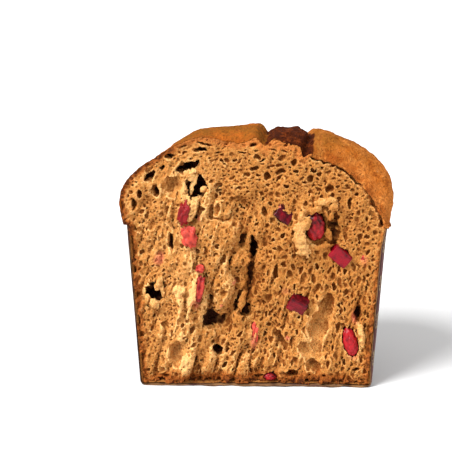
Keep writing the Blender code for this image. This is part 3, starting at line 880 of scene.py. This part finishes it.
SMOOTH_HOLES = (
    (-54.7, 135.9, 6.6, 7.0, 0, 5, 0.08),
    (-52.9, 22.6, 5.2, 9.5, 0, 5, 0.10),
    (45.3, 54.0, 5.6, 10.6, -12, 4.2, 0.08),
    (41.4, 42.5, 6.6, 13.0, -14, 4.4, 0.08),
    (39.6, 29.5, 4.4, 11.0, 6, 3.6, 0.08),
    (32.4, 25.0, 4.4, 7.4, 26, 4.2, 0.10),
    (38.2, 14.6, 4.6, 6.4, 34, 5, 0.15),
    (46.6, 134.8, 2.8, 2.8, 0, 4.5, 0.10),
    (6.2, 143.1, 2.1, 2.8, 15, 5, 0.10),
    (14.5, 145.7, 2.8, 2.0, 0, 4, 0.10),
    (23.6, 152.6, 2.3, 2.4, 0, 4, 0.10),
    (24.7, 146.4, 2.2, 1.4, 0, 3, 0.10),
    (34.0, 141.9, 2.5, 2.1, 0, 4, 0.10),
    (5.1, 119.4, 2.0, 2.8, 0, 4, 0.10),
    (-1.8, 147.6, 3.0, 1.9, 10, 4, 0.10),
    (18.1, 136.0, 1.7, 1.4, 0, 3, 0.10),
)
# Bits left standing in or beside the holes: x, z, half width, half height, lean, depth, half thickness; in mm
STRANDS = (
    (-40.5, 139.0, 1.5, 8.0, -18, 3.0, 1.4),
    (-43.5, 143.0, 3.0, 3.6, 20, 2.0, 2.0),
    (-34.5, 133.5, 2.2, 1.6, 30, 3.0, 1.5),
    (-9.5, 58.0, 2.2, 6.5, -8, 1.5, 2.4),
    (28.4, 114.0, 3.0, 9.0, -8, -0.8, 2.4),
    (27.2, 104.0, 4.0, 10.5, 4, -1.2, 2.4),
    (29.5, 96.5, 4.2, 7.0, 16, -1.2, 2.4),
    (31.0, 112.0, 2.6, 5.0, -24, -2.0, 1.8),
    (43.5, 126.6, 7.0, 2.6, 8, -1.4, 2.2),
    (49.0, 123.5, 3.0, 3.6, -30, -1.0, 1.8),
    (37.0, 121.5, 5.0, 2.2, 34, -1.0, 1.8),
    (47.8, 117.5, 1.6, 4.0, -22, -0.8, 1.0),
    (44.5, 118.5, 1.2, 3.2, 20, -0.4, 1.0),
    (46.4, 105.0, 2.2, 4.4, 20, 0.2, 1.4),
    (42.0, 96.0, 5.0, 2.0, 20, -0.2, 1.4),
    (69.2, 36.5, 2.0, 8.0, 6, -2.0, 2.8),
    (68.0, 41.0, 2.0, 4.6, 24, -2.2, 2.6),
    (-67.5, 57.0, 3.0, 3.4, 20, 0.5, 3.0),
    (-72.0, 60.0, 2.0, 3.0, 0, 1.0, 2.6),
    (-64.0, 71.5, 2.2, 4.6, -16, 1.0, 2.8),
    (-61.5, 66.0, 1.4, 4.0, 10, 2.0, 2.4),
)


def at_face(x, z, inside):
    """A place a distance behind the torn face, all in millimetres."""
    return (x * MM, CUT_Y - tear(x * MM, z * MM) + inside * MM, z * MM)


for x, z, wide, tall, lean, deep, uneven in TORN_HOLES + SMOOTH_HOLES:
    hollow(holes, at_face(x, z, 0.0), (wide * MM, deep * MM, tall * MM), math.radians(lean), uneven)
holes = pushed(holes)
crumb = np.maximum(crumb, -holes)


def cell_form(x, z):
    """Small cells at a place in mm: shares of width and height, lean, shares kept of the three kinds."""
    if z > 132:
        return 1.30, 0.75, -0.32 * x, (0.30, 0.70, 1.0)
    if x > 6 and z < 84:
        return 0.75, 1.8, 0.12 * (x - 40) * (1 if z < 30 else 0.3), (0.70, 1.0, 1.0)
    if x < 2:
        return 0.88, 1.35, -14.0, (0.18, 0.55, 0.85)
    return 0.95, 1.1, -6.0, (0.25, 0.60, 1.0)


# Small cells, packed so that thin walls stay between them: tries, smallest and largest radius in mm
CELL_KINDS = ((3000, 1.5, 2.7), (30000, 0.9, 1.5), (110000, 0.52, 0.9))
WALL = 0.34 * MM
HOLE_WALL = 0.5 * MM
CELL_OFF_CRUST = 1.2 * MM
LEAST_SHARE = 0.8
CELL_UNEVEN = 0.25
# Places with dense torn flakes and no small cells: x, z, half width, half height, in mm
FLAKES = (
    (28.5, 104, 5.0, 17),
    (44, 126.5, 7.5, 3.4),
    (-41, 141, 3, 9),
)
face_cell = np.argmax(crumb < 0, axis=1)
for kind, (tries, smallest, largest) in enumerate(CELL_KINDS):
    for x, z, inside, share, flat, sway, chance in zip(
        dice.uniform(-87, 87, tries),
        dice.uniform(2, 170, tries),
        dice.uniform(-0.25, 0.6, tries),
        dice.random(tries),
        dice.uniform(0.6, 1.0, tries),
        dice.uniform(-26, 26, tries),
        dice.random(tries),
    ):
        column, row = int((x * MM - LOW.x) / CELL), int((z * MM - LOW.z) / CELL)
        if column >= CELLS_ACROSS[0] or row >= CELLS_ACROSS[2] or crust_depth[column, row] < CELL_OFF_CRUST:
            continue
        if any(((x - at_x) / wide) ** 2 + ((z - at_z) / tall) ** 2 < 1 for at_x, at_z, wide, tall in FLAKES):
            continue
        wide, tall, lean, kept_shares = cell_form(x, z)
        if chance > kept_shares[kind]:
            continue
        wanted = (smallest + (largest - smallest) * share * share) * MM
        depth_cell = min(face_cell[column, row] + int(inside * wanted / CELL), CELLS_ACROSS[1] - 1)
        room = min(cells[column, depth_cell, row], holes[column, depth_cell, row] - HOLE_WALL) - WALL
        radius = min(wanted, room / min(wide, tall))
        if radius < smallest * LEAST_SHARE * MM:
            continue
        radii = (radius * wide, radius * flat, radius * tall)
        y = ys[face_cell[column, row]] + inside * radius
        hollow(cells, (x * MM, y, z * MM), radii, math.radians(lean + sway), CELL_UNEVEN)
crumb = np.maximum(crumb, -pushed(cells))

# Each fruit: name, kind, x, z, width, height, thickness, lean, middle's depth behind the torn face; in mm
FRUITS = (
    ("cube_upper", "cube", 17.0, 117.0, 11.5, 8.5, 9.0, -36, 3.5),
    ("cube_right", "cube", 54.6, 90.4, 13.5, 9.5, 9.0, -40, 3.0),
    ("cube_lower", "cube", 27.5, 58.0, 12.5, 10.5, 11.0, -25, 3.0),
    ("berry_upper", "berry", 37.4, 110.0, 12.5, 19.0, 11.0, 10, 2.0),
    ("berry_right", "berry", 62.2, 31.0, 10.0, 20.0, 10.0, 14, 2.5),
    ("berry_base", "berry", 9.3, 5.4, 8.5, 5.6, 8.0, 0, 2.5),
    ("chunk_left_top", "chunk", -47.1, 118.8, 7.5, 15.0, 7.0, -14, 2.0),
    ("chunk_left_bright", "chunk", -43.7, 102.8, 9.5, 14.0, 8.0, 12, 1.5),
    ("chunk_left_small", "chunk", -37.0, 81.3, 5.2, 5.4, 5.0, 0, 1.0),
    ("chunk_left_long", "chunk", -38.0, 67.7, 7.0, 18.0, 6.5, -12, 1.2),
    ("chunk_middle", "chunk", -1.5, 36.7, 5.6, 15.0, 6.0, -5, 2.0),
    ("chunk_right_small", "chunk", 68.9, 88.2, 4.4, 4.6, 4.0, 0, 1.4),
)
# The room each kind of fruit has in the crumb: its half size as a share of the fruit's size, and unevenness
FRUIT_ROOMS = {"cube": (0.60, 0.1), "berry": (0.60, 0.1), "chunk": (0.50, 0.5)}
STRAND_UNEVEN = 0.55
fruit_room = np.full(CELLS_ACROSS, NO_HOLE, np.float32)
for name, shape, x, z, wide, tall, thick, lean, inside in FRUITS:
    grown, uneven = FRUIT_ROOMS[shape]
    radii = (wide * grown * MM, thick * grown * MM, tall * grown * MM)
    hollow(fruit_room, at_face(x, z, inside), radii, math.radians(lean), uneven)
crumb = np.maximum(crumb, -fruit_room)
for x, z, wide, tall, lean, inside, thick in STRANDS:
    grow(at_face(x, z, inside), (wide * MM, thick * MM, tall * MM), math.radians(lean), STRAND_UNEVEN)

# The ragged crack between the right-hand flap and the crumb; where it starts and fades in, in mm
CRACK_X = 33.0
CRACK_Z = 110.0
CRACK_FADE = 3.0
CRACK_DEEP = 5.0 * MM
CRACK_OFF_SKIN = 0.2 * MM
across_share = np.clip((across_mm - CRACK_X) / CRACK_FADE, 0.0, 1.0)
crack_run = across_share * np.clip((up_mm - CRACK_Z) / CRACK_FADE, 0.0, 1.0)
crack_width = (1.3 + 1.9 * lumps + 1.2 * rough + 0.8 * ragged) * MM * crack_run
depth_in = crust_depth[:, None, :] - (FLAP_SKIN + CRACK_OFF_SKIN)
in_crack = (depth_in > 0) & (ys[None, :, None] < CUT_Y + CRACK_DEEP)
crumb = np.where(in_crack, np.maximum(crumb, crack_width - depth_in), crumb)
# The crumb draws in from the crust behind the cut, as the crust's pocket does
WIDENING = 1.5 * MM
WIDENING_DEEP = 22.0 * MM
walls = crust_depth[:, None, :] - CRUST_SINK
widening = WIDENING * ((np.maximum(ys - CUT_Y, 0.0) / WIDENING_DEEP) ** 2)[None, :, None]
angle_map = np.degrees(np.arctan2(up_mm * MM - ROLL_HUB.z, across_mm * MM - ROLL_HUB.x))
sinking = np.clip((ys - CUT_Y) / SINK_BACK, 0.0, 1.0)[None, :, None] * POCKET_SINK
sinking = sinking * np.exp(-(((angle_map - SINK_ANGLE) / SINK_SPREAD) ** 2))
crumb = np.maximum(crumb, widening + sinking - walls).astype(np.float32)
crumb = np.maximum(crumb, (ys - CRUMB_BACK)[None, :, None])
crumb[0], crumb[-1] = CELL, CELL
crumb[:, -1], crumb[:, :, 0], crumb[:, :, -1] = CELL, CELL, CELL


def filled_share(*reaches):
    """The share of filled cells round each cell, averaged over each reach in turn to stay round."""
    share = (crumb < 0).astype(np.float32)
    for reach in reaches:
        for axis in range(3):
            total = np.cumsum(share, axis=axis, dtype=np.float64)
            share = (np.roll(total, -reach, axis=axis) - np.roll(total, reach, axis=axis)) / (2 * reach)
    return share.astype(np.float32)


FIELD_LIMIT = 3.0
grid = openvdb.FloatGrid(background=FIELD_LIMIT)
grid.copyFromArray(np.clip(crumb / CELL, -FIELD_LIMIT, FIELD_LIMIT).astype(np.float32))
points, _, quads = grid.convertToPolygons(0.0, 0.0)
# Each point takes the lowest number along its links until every island has one number; the largest stays
owner = np.arange(len(points))
links = np.concatenate([quads[:, [0, 1]], quads[:, [1, 2]], quads[:, [2, 3]]])
while True:
    lowest = np.minimum(owner[links[:, 0]], owner[links[:, 1]])
    before = owner.copy()
    np.minimum.at(owner, links[:, 0], lowest)
    np.minimum.at(owner, links[:, 1], lowest)
    owner = owner[owner]
    if np.array_equal(before, owner):
        break
names, sizes = np.unique(owner, return_counts=True)
main_body = owner == names[sizes.argmax()]
quads = quads[main_body[quads[:, 0]]]
used = np.unique(quads)
renumbered = np.zeros(len(points), int)
renumbered[used] = np.arange(len(used))
quads = renumbered[quads]
points = points[used] * CELL + np.array(LOW[:])
mesh = bpy.data.meshes.new("crumb")
mesh.vertices.add(len(points))
mesh.vertices.foreach_set("co", points.astype(np.float32).ravel())
mesh.loops.add(quads.size)
mesh.loops.foreach_set("vertex_index", quads.astype(np.int32).ravel())
mesh.polygons.add(len(quads))
mesh.polygons.foreach_set("loop_start", np.arange(0, quads.size, 4, dtype=np.int32))
mesh.update(calc_edges=True)
whole = bpy.data.objects.new("crumb_block", mesh)
bpy.context.scene.collection.objects.link(whole)
thinner = whole.modifiers.new("thinner", "DECIMATE")
thinner.ratio = min(1.0, CRUMB_TRIANGLES / (2 * len(quads)))
thinned = bpy.data.meshes.new_from_object(whole.evaluated_get(bpy.context.evaluated_depsgraph_get()))
bpy.data.objects.remove(whole)

# Where the crumb is paler (+) or browner (-), and where juice has stained it: x, z, half width, half height,
# lean and how much, in mm. Paler is partly painted light on proud ridges, strands, flakes and smooth cells,
# browner partly painted shade in hollows and round holes, and the rest the crumb's own colour.
TONES_AND_LIGHT = (
    (-47, 62, 9, 52, -6, 0.9),
    (-46, 14, 4, 3, 35, 1.0),
    (45, 110, 50, 70, 0, -0.46),
    (-22, 76, 8, 20, -6, 0.35),
    (-60, 100, 12, 16, 0, 0.35),
    (-62, 30, 12, 16, 0, 0.45),
    (-30, 20, 26, 12, 0, 0.35),
    (-4, 70, 5, 18, -4, -0.7),
    (60, 40, 30, 40, 0, -0.15),
    (-66, 92, 4, 4, 40, 0.8),
    (-30, 140, 12, 10, 0, 0.5),
    (-30, 118, 8, 12, 0, 0.4),
    (-41, 141, 3, 9, -15, 1.0),
    (28, 105, 4.5, 15, 3, 1.1),
    (33, 95, 5, 4, -30, 0.9),
    (44, 126, 6, 4, 12, 1.0),
    (68.0, 38.0, 2.2, 9, 8, 1.4),
    (-50, 84, 30, 62, 0, 0.78),
    (34, 30, 9, 30, 0, 0.35),
    (-8, 84, 10, 20, 0, -0.5),
    (-12, 48, 9, 16, 0, -0.5),
    (4, 60, 6, 16, 0, -0.45),
    (72, 60, 8, 30, 0, -0.3),
    (48, 105, 8, 14, 0, -0.6),
    (66, 52, 5, 8, 0, -0.7),
    (-70, 40, 8, 40, 0, -0.2),
    (-28.6, 45.5, 6, 8, -20, -1.0),
    (45.3, 53.0, 5.5, 10, -12, 0.7),
    (41.0, 41.0, 6.5, 13, -12, 1.2),
    (39.4, 28.0, 4.6, 11, 6, 1.4),
    (32.0, 25.0, 4.6, 8, 26, 1.2),
    (-54.7, 135.9, 6, 7, 0, 0.7),
    (-52.9, 22.6, 5, 9, 0, 0.7),
)
STAINS = (
    (-63.7, 87.6, 4.5, 6.5, -20, 0.75),
    (69.5, 87.5, 4.0, 5.0, 0, 0.6),
    (-37.8, 114.9, 2.2, 3.6, 10, 0.7),
    (-47.1, 112.0, 3.6, 7.0, -14, 0.6),
    (-41.0, 96.0, 5.0, 6.0, 0, 0.5),
    (-39.0, 58.0, 4.5, 5.5, 0, 0.75),
    (-38.0, 76.0, 3.0, 5.0, 0, 0.4),
    (19.5, 66.0, 5.0, 4.0, 0, 0.45),
    (-1.5, 30.0, 3.5, 7.0, 0, 0.8),
    (-5.0, 86.0, 2.0, 5.0, -20, 0.4),
    (-20.0, 80.0, 2.0, 8.0, -10, 0.3),
    (20.6, 33.5, 2.0, 2.2, 0, 0.9),
    (-14.6, 71.0, 1.8, 1.8, 0, 0.8),
    (-23.0, 56.0, 1.5, 1.5, 0, 0.8),
    (64.5, 49.0, 3.0, 6.0, 0, 0.9),
    (64.0, 22.0, 4.0, 4.0, 0, 0.6),
    (6.0, 6.0, 8.0, 4.0, 0, 0.5),
    (15.6, 123.0, 1.7, 1.9, 0, 1.8),
)


def spots(table, at):
    """The sum of soft leaning spots at every point of a piece of crumb."""
    total = np.zeros(len(at))
    for at_x, at_z, wide, tall, lean, amount in table:
        across, along = leaned(at[:, 0] / MM - at_x, at[:, 2] / MM - at_z, math.radians(lean))
        total += amount * np.exp(-((across / wide) ** 2) - (along / tall) ** 2)
    return total


# How thick the baked edge is round the cut, by the angle in degrees round ROLL_HUB
BAND_ANGLES = (-180, -128, -122, -58, -52, -10, 4, 10, 58, 63, 86, 92, 126, 134, 180)
BAND_WIDTHS = (4.6, 4.8, 8.0, 8.0, 4.2, 3.0, 2.0, 1.8, 2.4, 5.0, 5.2, 3.8, 3.4, 3.4, 4.2)
BURNT_SHARES = (0.9, 0.8, 1.0, 1.0, 0.8, 0.5, 0.4, 0.3, 0.1, 0.0, 0.0, 0.0, 0.3, 1.0, 1.0)
# How filled the crumb is round each cell, at two reaches: the material paints shade where it is filled round
# and light where open.
wide_fill, close_fill = filled_share(5, 4, 3), filled_share(2)


def mark(mesh):
    """Gives each crumb point what its material reads: depth, stains, and the fill and paleness that carry
    painted light and shade.
    """
    at = np.empty(len(mesh.vertices) * 3, np.float32)
    mesh.vertices.foreach_get("co", at)
    at = at.reshape(-1, 3)
    nearest = ((at - np.array(LOW[:])) / CELL).round().astype(int)
    spot = tuple(np.clip(nearest, 0, np.array(CELLS_ACROSS) - 1).T)
    angles = np.degrees(np.arctan2(at[:, 2] - ROLL_HUB.z, at[:, 0] - ROLL_HUB.x))
    marks = {
        "pit": wide_fill[spot],
        "small_pit": close_fill[spot],
        "band": crust_depth[spot[0], spot[2]] / MM / np.interp(angles, BAND_ANGLES, BAND_WIDTHS),
        "behind": (at[:, 1] - (CUT_Y - tear_map[spot[0], spot[2]])) / MM,
        "burnt": np.interp(angles, BAND_ANGLES, BURNT_SHARES),
        "tone_and_light": spots(TONES_AND_LIGHT, at),
        "stain": spots(STAINS, at),
    }
    for name, values in marks.items():
        mesh.attributes.new(name, "FLOAT", "POINT").data.foreach_set("value", values.astype(np.float32))


CRUMB_GOLD = (0.47, 0.180, 0.036, 1.0)
CRUMB_PALE_AND_LIT = (0.82, 0.46, 0.165, 1.0)
CRUMB_PIT_SHADE = (0.19, 0.052, 0.007, 1.0)
CRUMB_HOLE_SHADE = (0.034, 0.008, 0.0025, 1.0)
JUICE_PINK = (0.62, 0.14, 0.085, 1.0)
CRUST_CUT = (0.33, 0.092, 0.014, 1.0)
CRUST_ORANGE = (0.50, 0.165, 0.034, 1.0)
CRUST_LINE = (0.085, 0.020, 0.005, 1.0)
sponge, sponge_shader, place = finish_nodes(
    "torn_sponge", Roughness=0.8, Specular_IOR_Level=0.10, Subsurface_Weight=0.10, Subsurface_Scale=0.003
)
pit_wire, small_wire, band_wire, burnt_wire, behind_wire, tone_and_light_wire, stain_wire = [
    place.attribute(name)
    for name in ("pit", "small_pit", "band", "burnt", "behind", "tone_and_light", "stain")
]
mottle = place.clouds(10.0 * MM, 4.0, 0.6)
grain = place.clouds(0.9 * MM, 4.0, 0.65)
foam = place.cells(1.7 * MM, "DISTANCE_TO_EDGE", (1.15, 1.0, 0.8))
froth = place.cells(0.95 * MM, "DISTANCE_TO_EDGE", at=(2.0, 0.0, 0.0))
# Painted light: cell walls, crests and open places turn pale, as where light falls, mixed with the crumb's
# own mottle.
lit_cell_walls = foam.rise(0.16, 0.03) * 0.6 + froth.rise(0.14, 0.02) * 0.4
lit_crest = small_wire.rise(0.54, 0.30)
high = pit_wire.rise(0.51, 0.35)
# Partly painted light and shade: the paler and browner places, stronger on crests and open places.
paler = tone_and_light_wire * (0.10 + lit_crest * 0.35 + high * 0.45)
ridge_light_and_mottle = lit_crest * 0.40 + (mottle - 0.5) * 0.4 + lit_cell_walls * 0.25 + paler + high * 0.2 - 0.05
colour = ridge_light_and_mottle.rise(0.0, 1.0, False).blend(CRUMB_GOLD, CRUMB_PALE_AND_LIT)
# Painted shade: the crumb darkens to brown in pits, inside its cells and where it is filled round, as where
# shade falls.
pit_shade = pit_wire.rise(0.54, 0.78) * 0.75 + small_wire.rise(0.54, 0.84) * 0.50
sunken_shade = pit_shade - lit_cell_walls * 0.20 - tone_and_light_wire * 0.35
sunken_shade = sunken_shade + (grain - 0.5) * 0.40 + foam.rise(0.16, 0.42) * 0.26
colour = sunken_shade.rise(0.08, 1.0, False).blend(colour, CRUMB_PIT_SHADE)
juice = stain_wire + (grain - 0.5) * 0.6 + (mottle - 0.5) * 0.6
colour = (juice.rise(0.25, 0.85) * 0.8).blend(colour, JUICE_PINK)
# Painted shade: a few mm behind the torn face the crumb turns almost black, as deep in its holes.
colour = behind_wire.rise(3.2, 8.5).blend(colour, CRUMB_HOLE_SHADE)
speckle = place.clouds(3.0 * MM, 3.0, 0.6, at=(0.0, 0.0, 4.0))
edge_mix = band_wire + (mottle - 0.5) * 1.2 + (speckle - 0.5) * 1.2
colour = edge_mix.rise(1.30, 0.65).blend(colour, burnt_wire.blend(CRUST_ORANGE, CRUST_CUT))
burnt_spots = edge_mix.rise(0.80, 0.15) * (speckle.rise(0.56, 0.44) * 0.75 + 0.25) * (burnt_wire * 0.9 + 0.1)
colour = burnt_spots.blend(colour, CRUST_LINE)
sponge_relief = grain * 0.5 + foam.rise(0.35, 0.0) * 0.6 + froth.rise(0.35, 0.0) * 0.35
feed(
    sponge_shader,
    Base_Color=colour,
    Roughness=0.72 + grain * 0.2,
    Normal=sponge_relief.bump(0.9, 0.7 * MM),
)
for name, way in (("crumb_left", -1.0), ("crumb_right", 1.0)):
    bm = bmesh.new()
    bm.from_mesh(thinned)
    cut = bmesh.ops.bisect_plane(
        bm,
        geom=bm.verts[:] + bm.edges[:] + bm.faces[:],
        plane_co=(CRUMB_PARTING, 0, 0),
        plane_no=(way, 0, 0),
        clear_inner=True,
    )
    parting = [item for item in cut["geom_cut"] if isinstance(item, bmesh.types.BMEdge)]
    bmesh.ops.triangle_fill(bm, use_beauty=True, use_dissolve=False, edges=parting)
    bmesh.ops.recalc_face_normals(bm, faces=bm.faces)
    half = piece_from(bm, name, sponge)
    for edge in half.data.edges:
        first, second = [half.data.vertices[index].co for index in edge.vertices]
        if abs(first.x - CRUMB_PARTING) < 1e-6 and abs(second.x - CRUMB_PARTING) < 1e-6:
            edge.use_edge_sharp = True
    mark(half.data)
    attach(half, "root")
    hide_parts("cake")

# The fruit is candied: clear crimson jelly cubes, whole soft berries of small drupelets, and wet torn bits of
# strawberry. Each piece is stuck in the crumb where the knife met it.
JELLY_DARK = (0.045, 0.0005, 0.003, 1.0)
JELLY_RED = (0.25, 0.002, 0.010, 1.0)
BERRY_DARK = (0.045, 0.003, 0.004, 1.0)
BERRY_RED = (0.36, 0.009, 0.014, 1.0)
CHUNK_RED = (0.22, 0.006, 0.007, 1.0)
CHUNK_PINK = (0.60, 0.070, 0.042, 1.0)
# Each look: its two colours, roughness, size of its patches in mm
FRUIT_LOOKS = {
    "cube": (JELLY_DARK, JELLY_RED, 0.30, 3.5),
    "berry": (BERRY_DARK, BERRY_RED, 0.34, 2.6),
    "chunk": (CHUNK_RED, CHUNK_PINK, 0.42, 3.0),
}
# How far a jelly cube's top is turned towards the viewer in degrees, and how much paler or darker a fruit is
NODS = {"cube_lower": 30.0, "cube_right": 12.0, "cube_upper": -14.0}
SHADES = {
    "cube_upper": -0.45, "cube_lower": 0.0, "cube_right": 0.35, "berry_right": 0.55, "chunk_left_top": -0.75,
    "chunk_left_bright": 0.20, "chunk_left_small": 0.15, "chunk_left_long": -0.45, "chunk_middle": 0.35,
}
# How far each kind and some single fruits are set in, in mm
SET_KINDS = {"cube": -0.5, "berry": -0.5, "chunk": 0.4}
SET_IN = {"chunk_left_top": -2.6, "chunk_left_bright": -0.4, "chunk_left_long": -0.6}
# How many lumps each kind has on its width, and how far they stand out, as shares of its size
FRUIT_LUMPS = {"cube": (2.0, 0.08), "berry": (3.8, 0.50), "chunk": (3.8, 0.50)}
DRUPELETS = 40
DRUPELET_REACH = 0.19
DRUPELET_ASTRAY = 0.055
GOLDEN_ANGLE = 2.39996
CUBE_TOP = 0.42
fruit_finishes = {}
for shape, (dark, bright, rough_share, size) in FRUIT_LOOKS.items():
    made, shader, place = finish_nodes(
        f"{shape}_fruit", Roughness=rough_share, Specular_IOR_Level=0.22, Subsurface_Weight=0.15,
        Subsurface_Scale=0.002,
    )
    patches = place.clouds(size * MM, 3.0, 0.6)
    skin = place.clouds(0.6 * MM, 3.0, 0.6)
    shade = place.attribute("shade")
    feed(
        shader,
        Base_Color=((patches - 0.5) * 1.6 + shade).maths("ADD", 0.5, clamp=True).blend(dark, bright),
        Roughness=rough_share + (skin - 0.5) * 0.35,
        Normal=skin.bump(0.5, 0.2 * MM),
    )
    fruit_finishes[shape] = made

for seed, (name, shape, x, z, wide, tall, thick, lean, inside) in enumerate(FRUITS):
    size = Vector((wide, thick, tall)) * MM
    bm = bmesh.new()
    if shape == "cube":
        bmesh.ops.create_cube(bm, size=1.0)
        bmesh.ops.bevel(
            bm, geom=bm.edges[:], offset=0.08, segments=3, profile=0.5, affect="EDGES", material=-1
        )
        bmesh.ops.subdivide_edges(bm, edges=bm.edges[:], cuts=5, use_grid_fill=True)
    else:
        bmesh.ops.create_icosphere(bm, subdivisions=5, radius=0.5)
    rate, lift = FRUIT_LUMPS[shape]
    shift = Vector((seed * 7.3, 0.0, 0.0))
    bumps = []
    if shape == "berry":
        for step in range(DRUPELETS):
            up = 1.0 - 2.0 * (step + 0.5) / DRUPELETS
            ring = math.sqrt(1.0 - up * up)
            swing = step * GOLDEN_ANGLE + seed
            spot = Vector((ring * math.cos(swing), ring * math.sin(swing), up)) * 0.5
            bumps.append(spot + Vector(dice.uniform(-DRUPELET_ASTRAY, DRUPELET_ASTRAY, 3)))
    shade_layer = bm.verts.layers.float.new("shade")
    for vert in bm.verts:
        lump = 1.0 + lift * noise.noise(vert.co * rate + shift) + 0.03 * noise.noise(vert.co * 9.0 + shift)
        vert[shade_layer] = SHADES.get(name, 0.0) + 0.6 * noise.noise(vert.co * 4.0 + shift)
        if bumps:
            near = min((vert.co - bump).length for bump in bumps)
            lump = 0.84 + 0.20 * math.sqrt(max(0.0, 1.0 - (near / DRUPELET_REACH) ** 2)) + 0.12 * (lump - 1.0)
            # Painted shade: a berry darkens in the crevices between its drupelets; it is also darker towards
            # its top.
            vert[shade_layer] += 0.50 - 3.6 * near - 1.1 * vert.co.z
        elif shape == "cube":
            # Painted shade: a jelly cube's top face is darker, its other faces paler.
            vert[shade_layer] += -0.35 if vert.co.z > CUBE_TOP else 0.15
        else:
            square = (0.5 / max(abs(value) for value in vert.co)) ** 0.5
            lump *= square * 0.92
        vert.co = Vector(vert.co[axis] * lump * size[axis] for axis in range(3))
    turn = math.radians(lean)
    middle = Vector(at_face(x, z, inside + SET_IN.get(name, SET_KINDS[shape])))
    nod = Matrix.Rotation(math.radians(NODS.get(name, 0.0)), 3, "X")
    for vert in bm.verts:
        local = nod @ vert.co
        across, along = leaned(local.x, local.z, -turn)
        vert.co = middle + Vector((across, local.y, along))
    bmesh.ops.recalc_face_normals(bm, faces=bm.faces)
    fruit = piece_from(bm, name + "_fruit", fruit_finishes[shape])
    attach(fruit, "root")
    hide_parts(name)

# The loaf stands on a pale matt table in soft daylight, from a window at the upper left in front and a weaker
# one at the right, in a white room.
CAMERA_AZIMUTH = math.radians(1.5)
CAMERA_ELEVATION = math.radians(13.9)
CAMERA_DISTANCE = 0.798
CAMERA_TARGET = Vector((-20.0 * MM, CUT_Y, 110.0 * MM))
FRAME_WIDTH = 0.292
towards = Vector((
    math.sin(CAMERA_AZIMUTH) * math.cos(CAMERA_ELEVATION),
    -math.cos(CAMERA_AZIMUTH) * math.cos(CAMERA_ELEVATION),
    math.sin(CAMERA_ELEVATION),
))
camera_data = bpy.data.cameras.new("camera")
camera_data.sensor_width = 36.0
camera_data.lens = 36.0 * CAMERA_DISTANCE / FRAME_WIDTH
camera = bpy.data.objects.new("camera", camera_data)
camera.location = CAMERA_TARGET + towards * CAMERA_DISTANCE
camera.rotation_euler = towards.to_track_quat("Z", "Y").to_euler()
bpy.context.scene.collection.objects.link(camera)
bpy.context.scene.camera = camera
bpy.context.scene.view_settings.view_transform = "Standard"

table_top, table_shader, place = finish_nodes("table_top", Roughness=0.7, Specular_IOR_Level=0.2)
TABLE_GREY = (0.69, 0.69, 0.69, 1.0)
TABLE_PALE = (0.71, 0.71, 0.71, 1.0)
feed(table_shader, Base_Color=place.clouds(0.3, 2.0).rise(0.2, 0.8).blend(TABLE_GREY, TABLE_PALE))
bm = bmesh.new()
TABLE_HALF = 20.0
bmesh.ops.create_grid(bm, x_segments=1, y_segments=1, size=TABLE_HALF)
floor = piece_from(bm, "table_top", table_top)

# Each sun: name, way towards it, spread of its light in degrees, strength
SUNS = (
    ("window", (-0.56, -0.44, 0.70), 30.0, 5.4),
    ("right_window", (0.85, -0.30, 0.42), 40.0, 0.7),
)
for name, way, spread, strength in SUNS:
    sun = bpy.data.lights.new(name, "SUN")
    sun.angle = math.radians(spread)
    sun.energy = strength
    lamp = bpy.data.objects.new(name, sun)
    lamp.location = Vector(way)
    lamp.rotation_euler = Vector(way).to_track_quat("Z", "Y").to_euler()
    bpy.context.scene.collection.objects.link(lamp)
world = bpy.data.worlds.new("room")
world.use_nodes = True
sky = Wire(world.node_tree)
way_up = sky.node("ShaderNodeTexCoord", {}, {}, 0).part(2)
ROOM_LIGHT = 0.40
CEILING_LIGHT = 0.45
brightness = way_up.rise(0.10, 0.80) * CEILING_LIGHT + ROOM_LIGHT
world.node_tree.links.new(brightness.socket, world.node_tree.nodes["Background"].inputs["Strength"])
world.node_tree.nodes["Background"].inputs["Color"].default_value = (1.0, 1.0, 1.0, 1.0)
bpy.context.scene.world = world
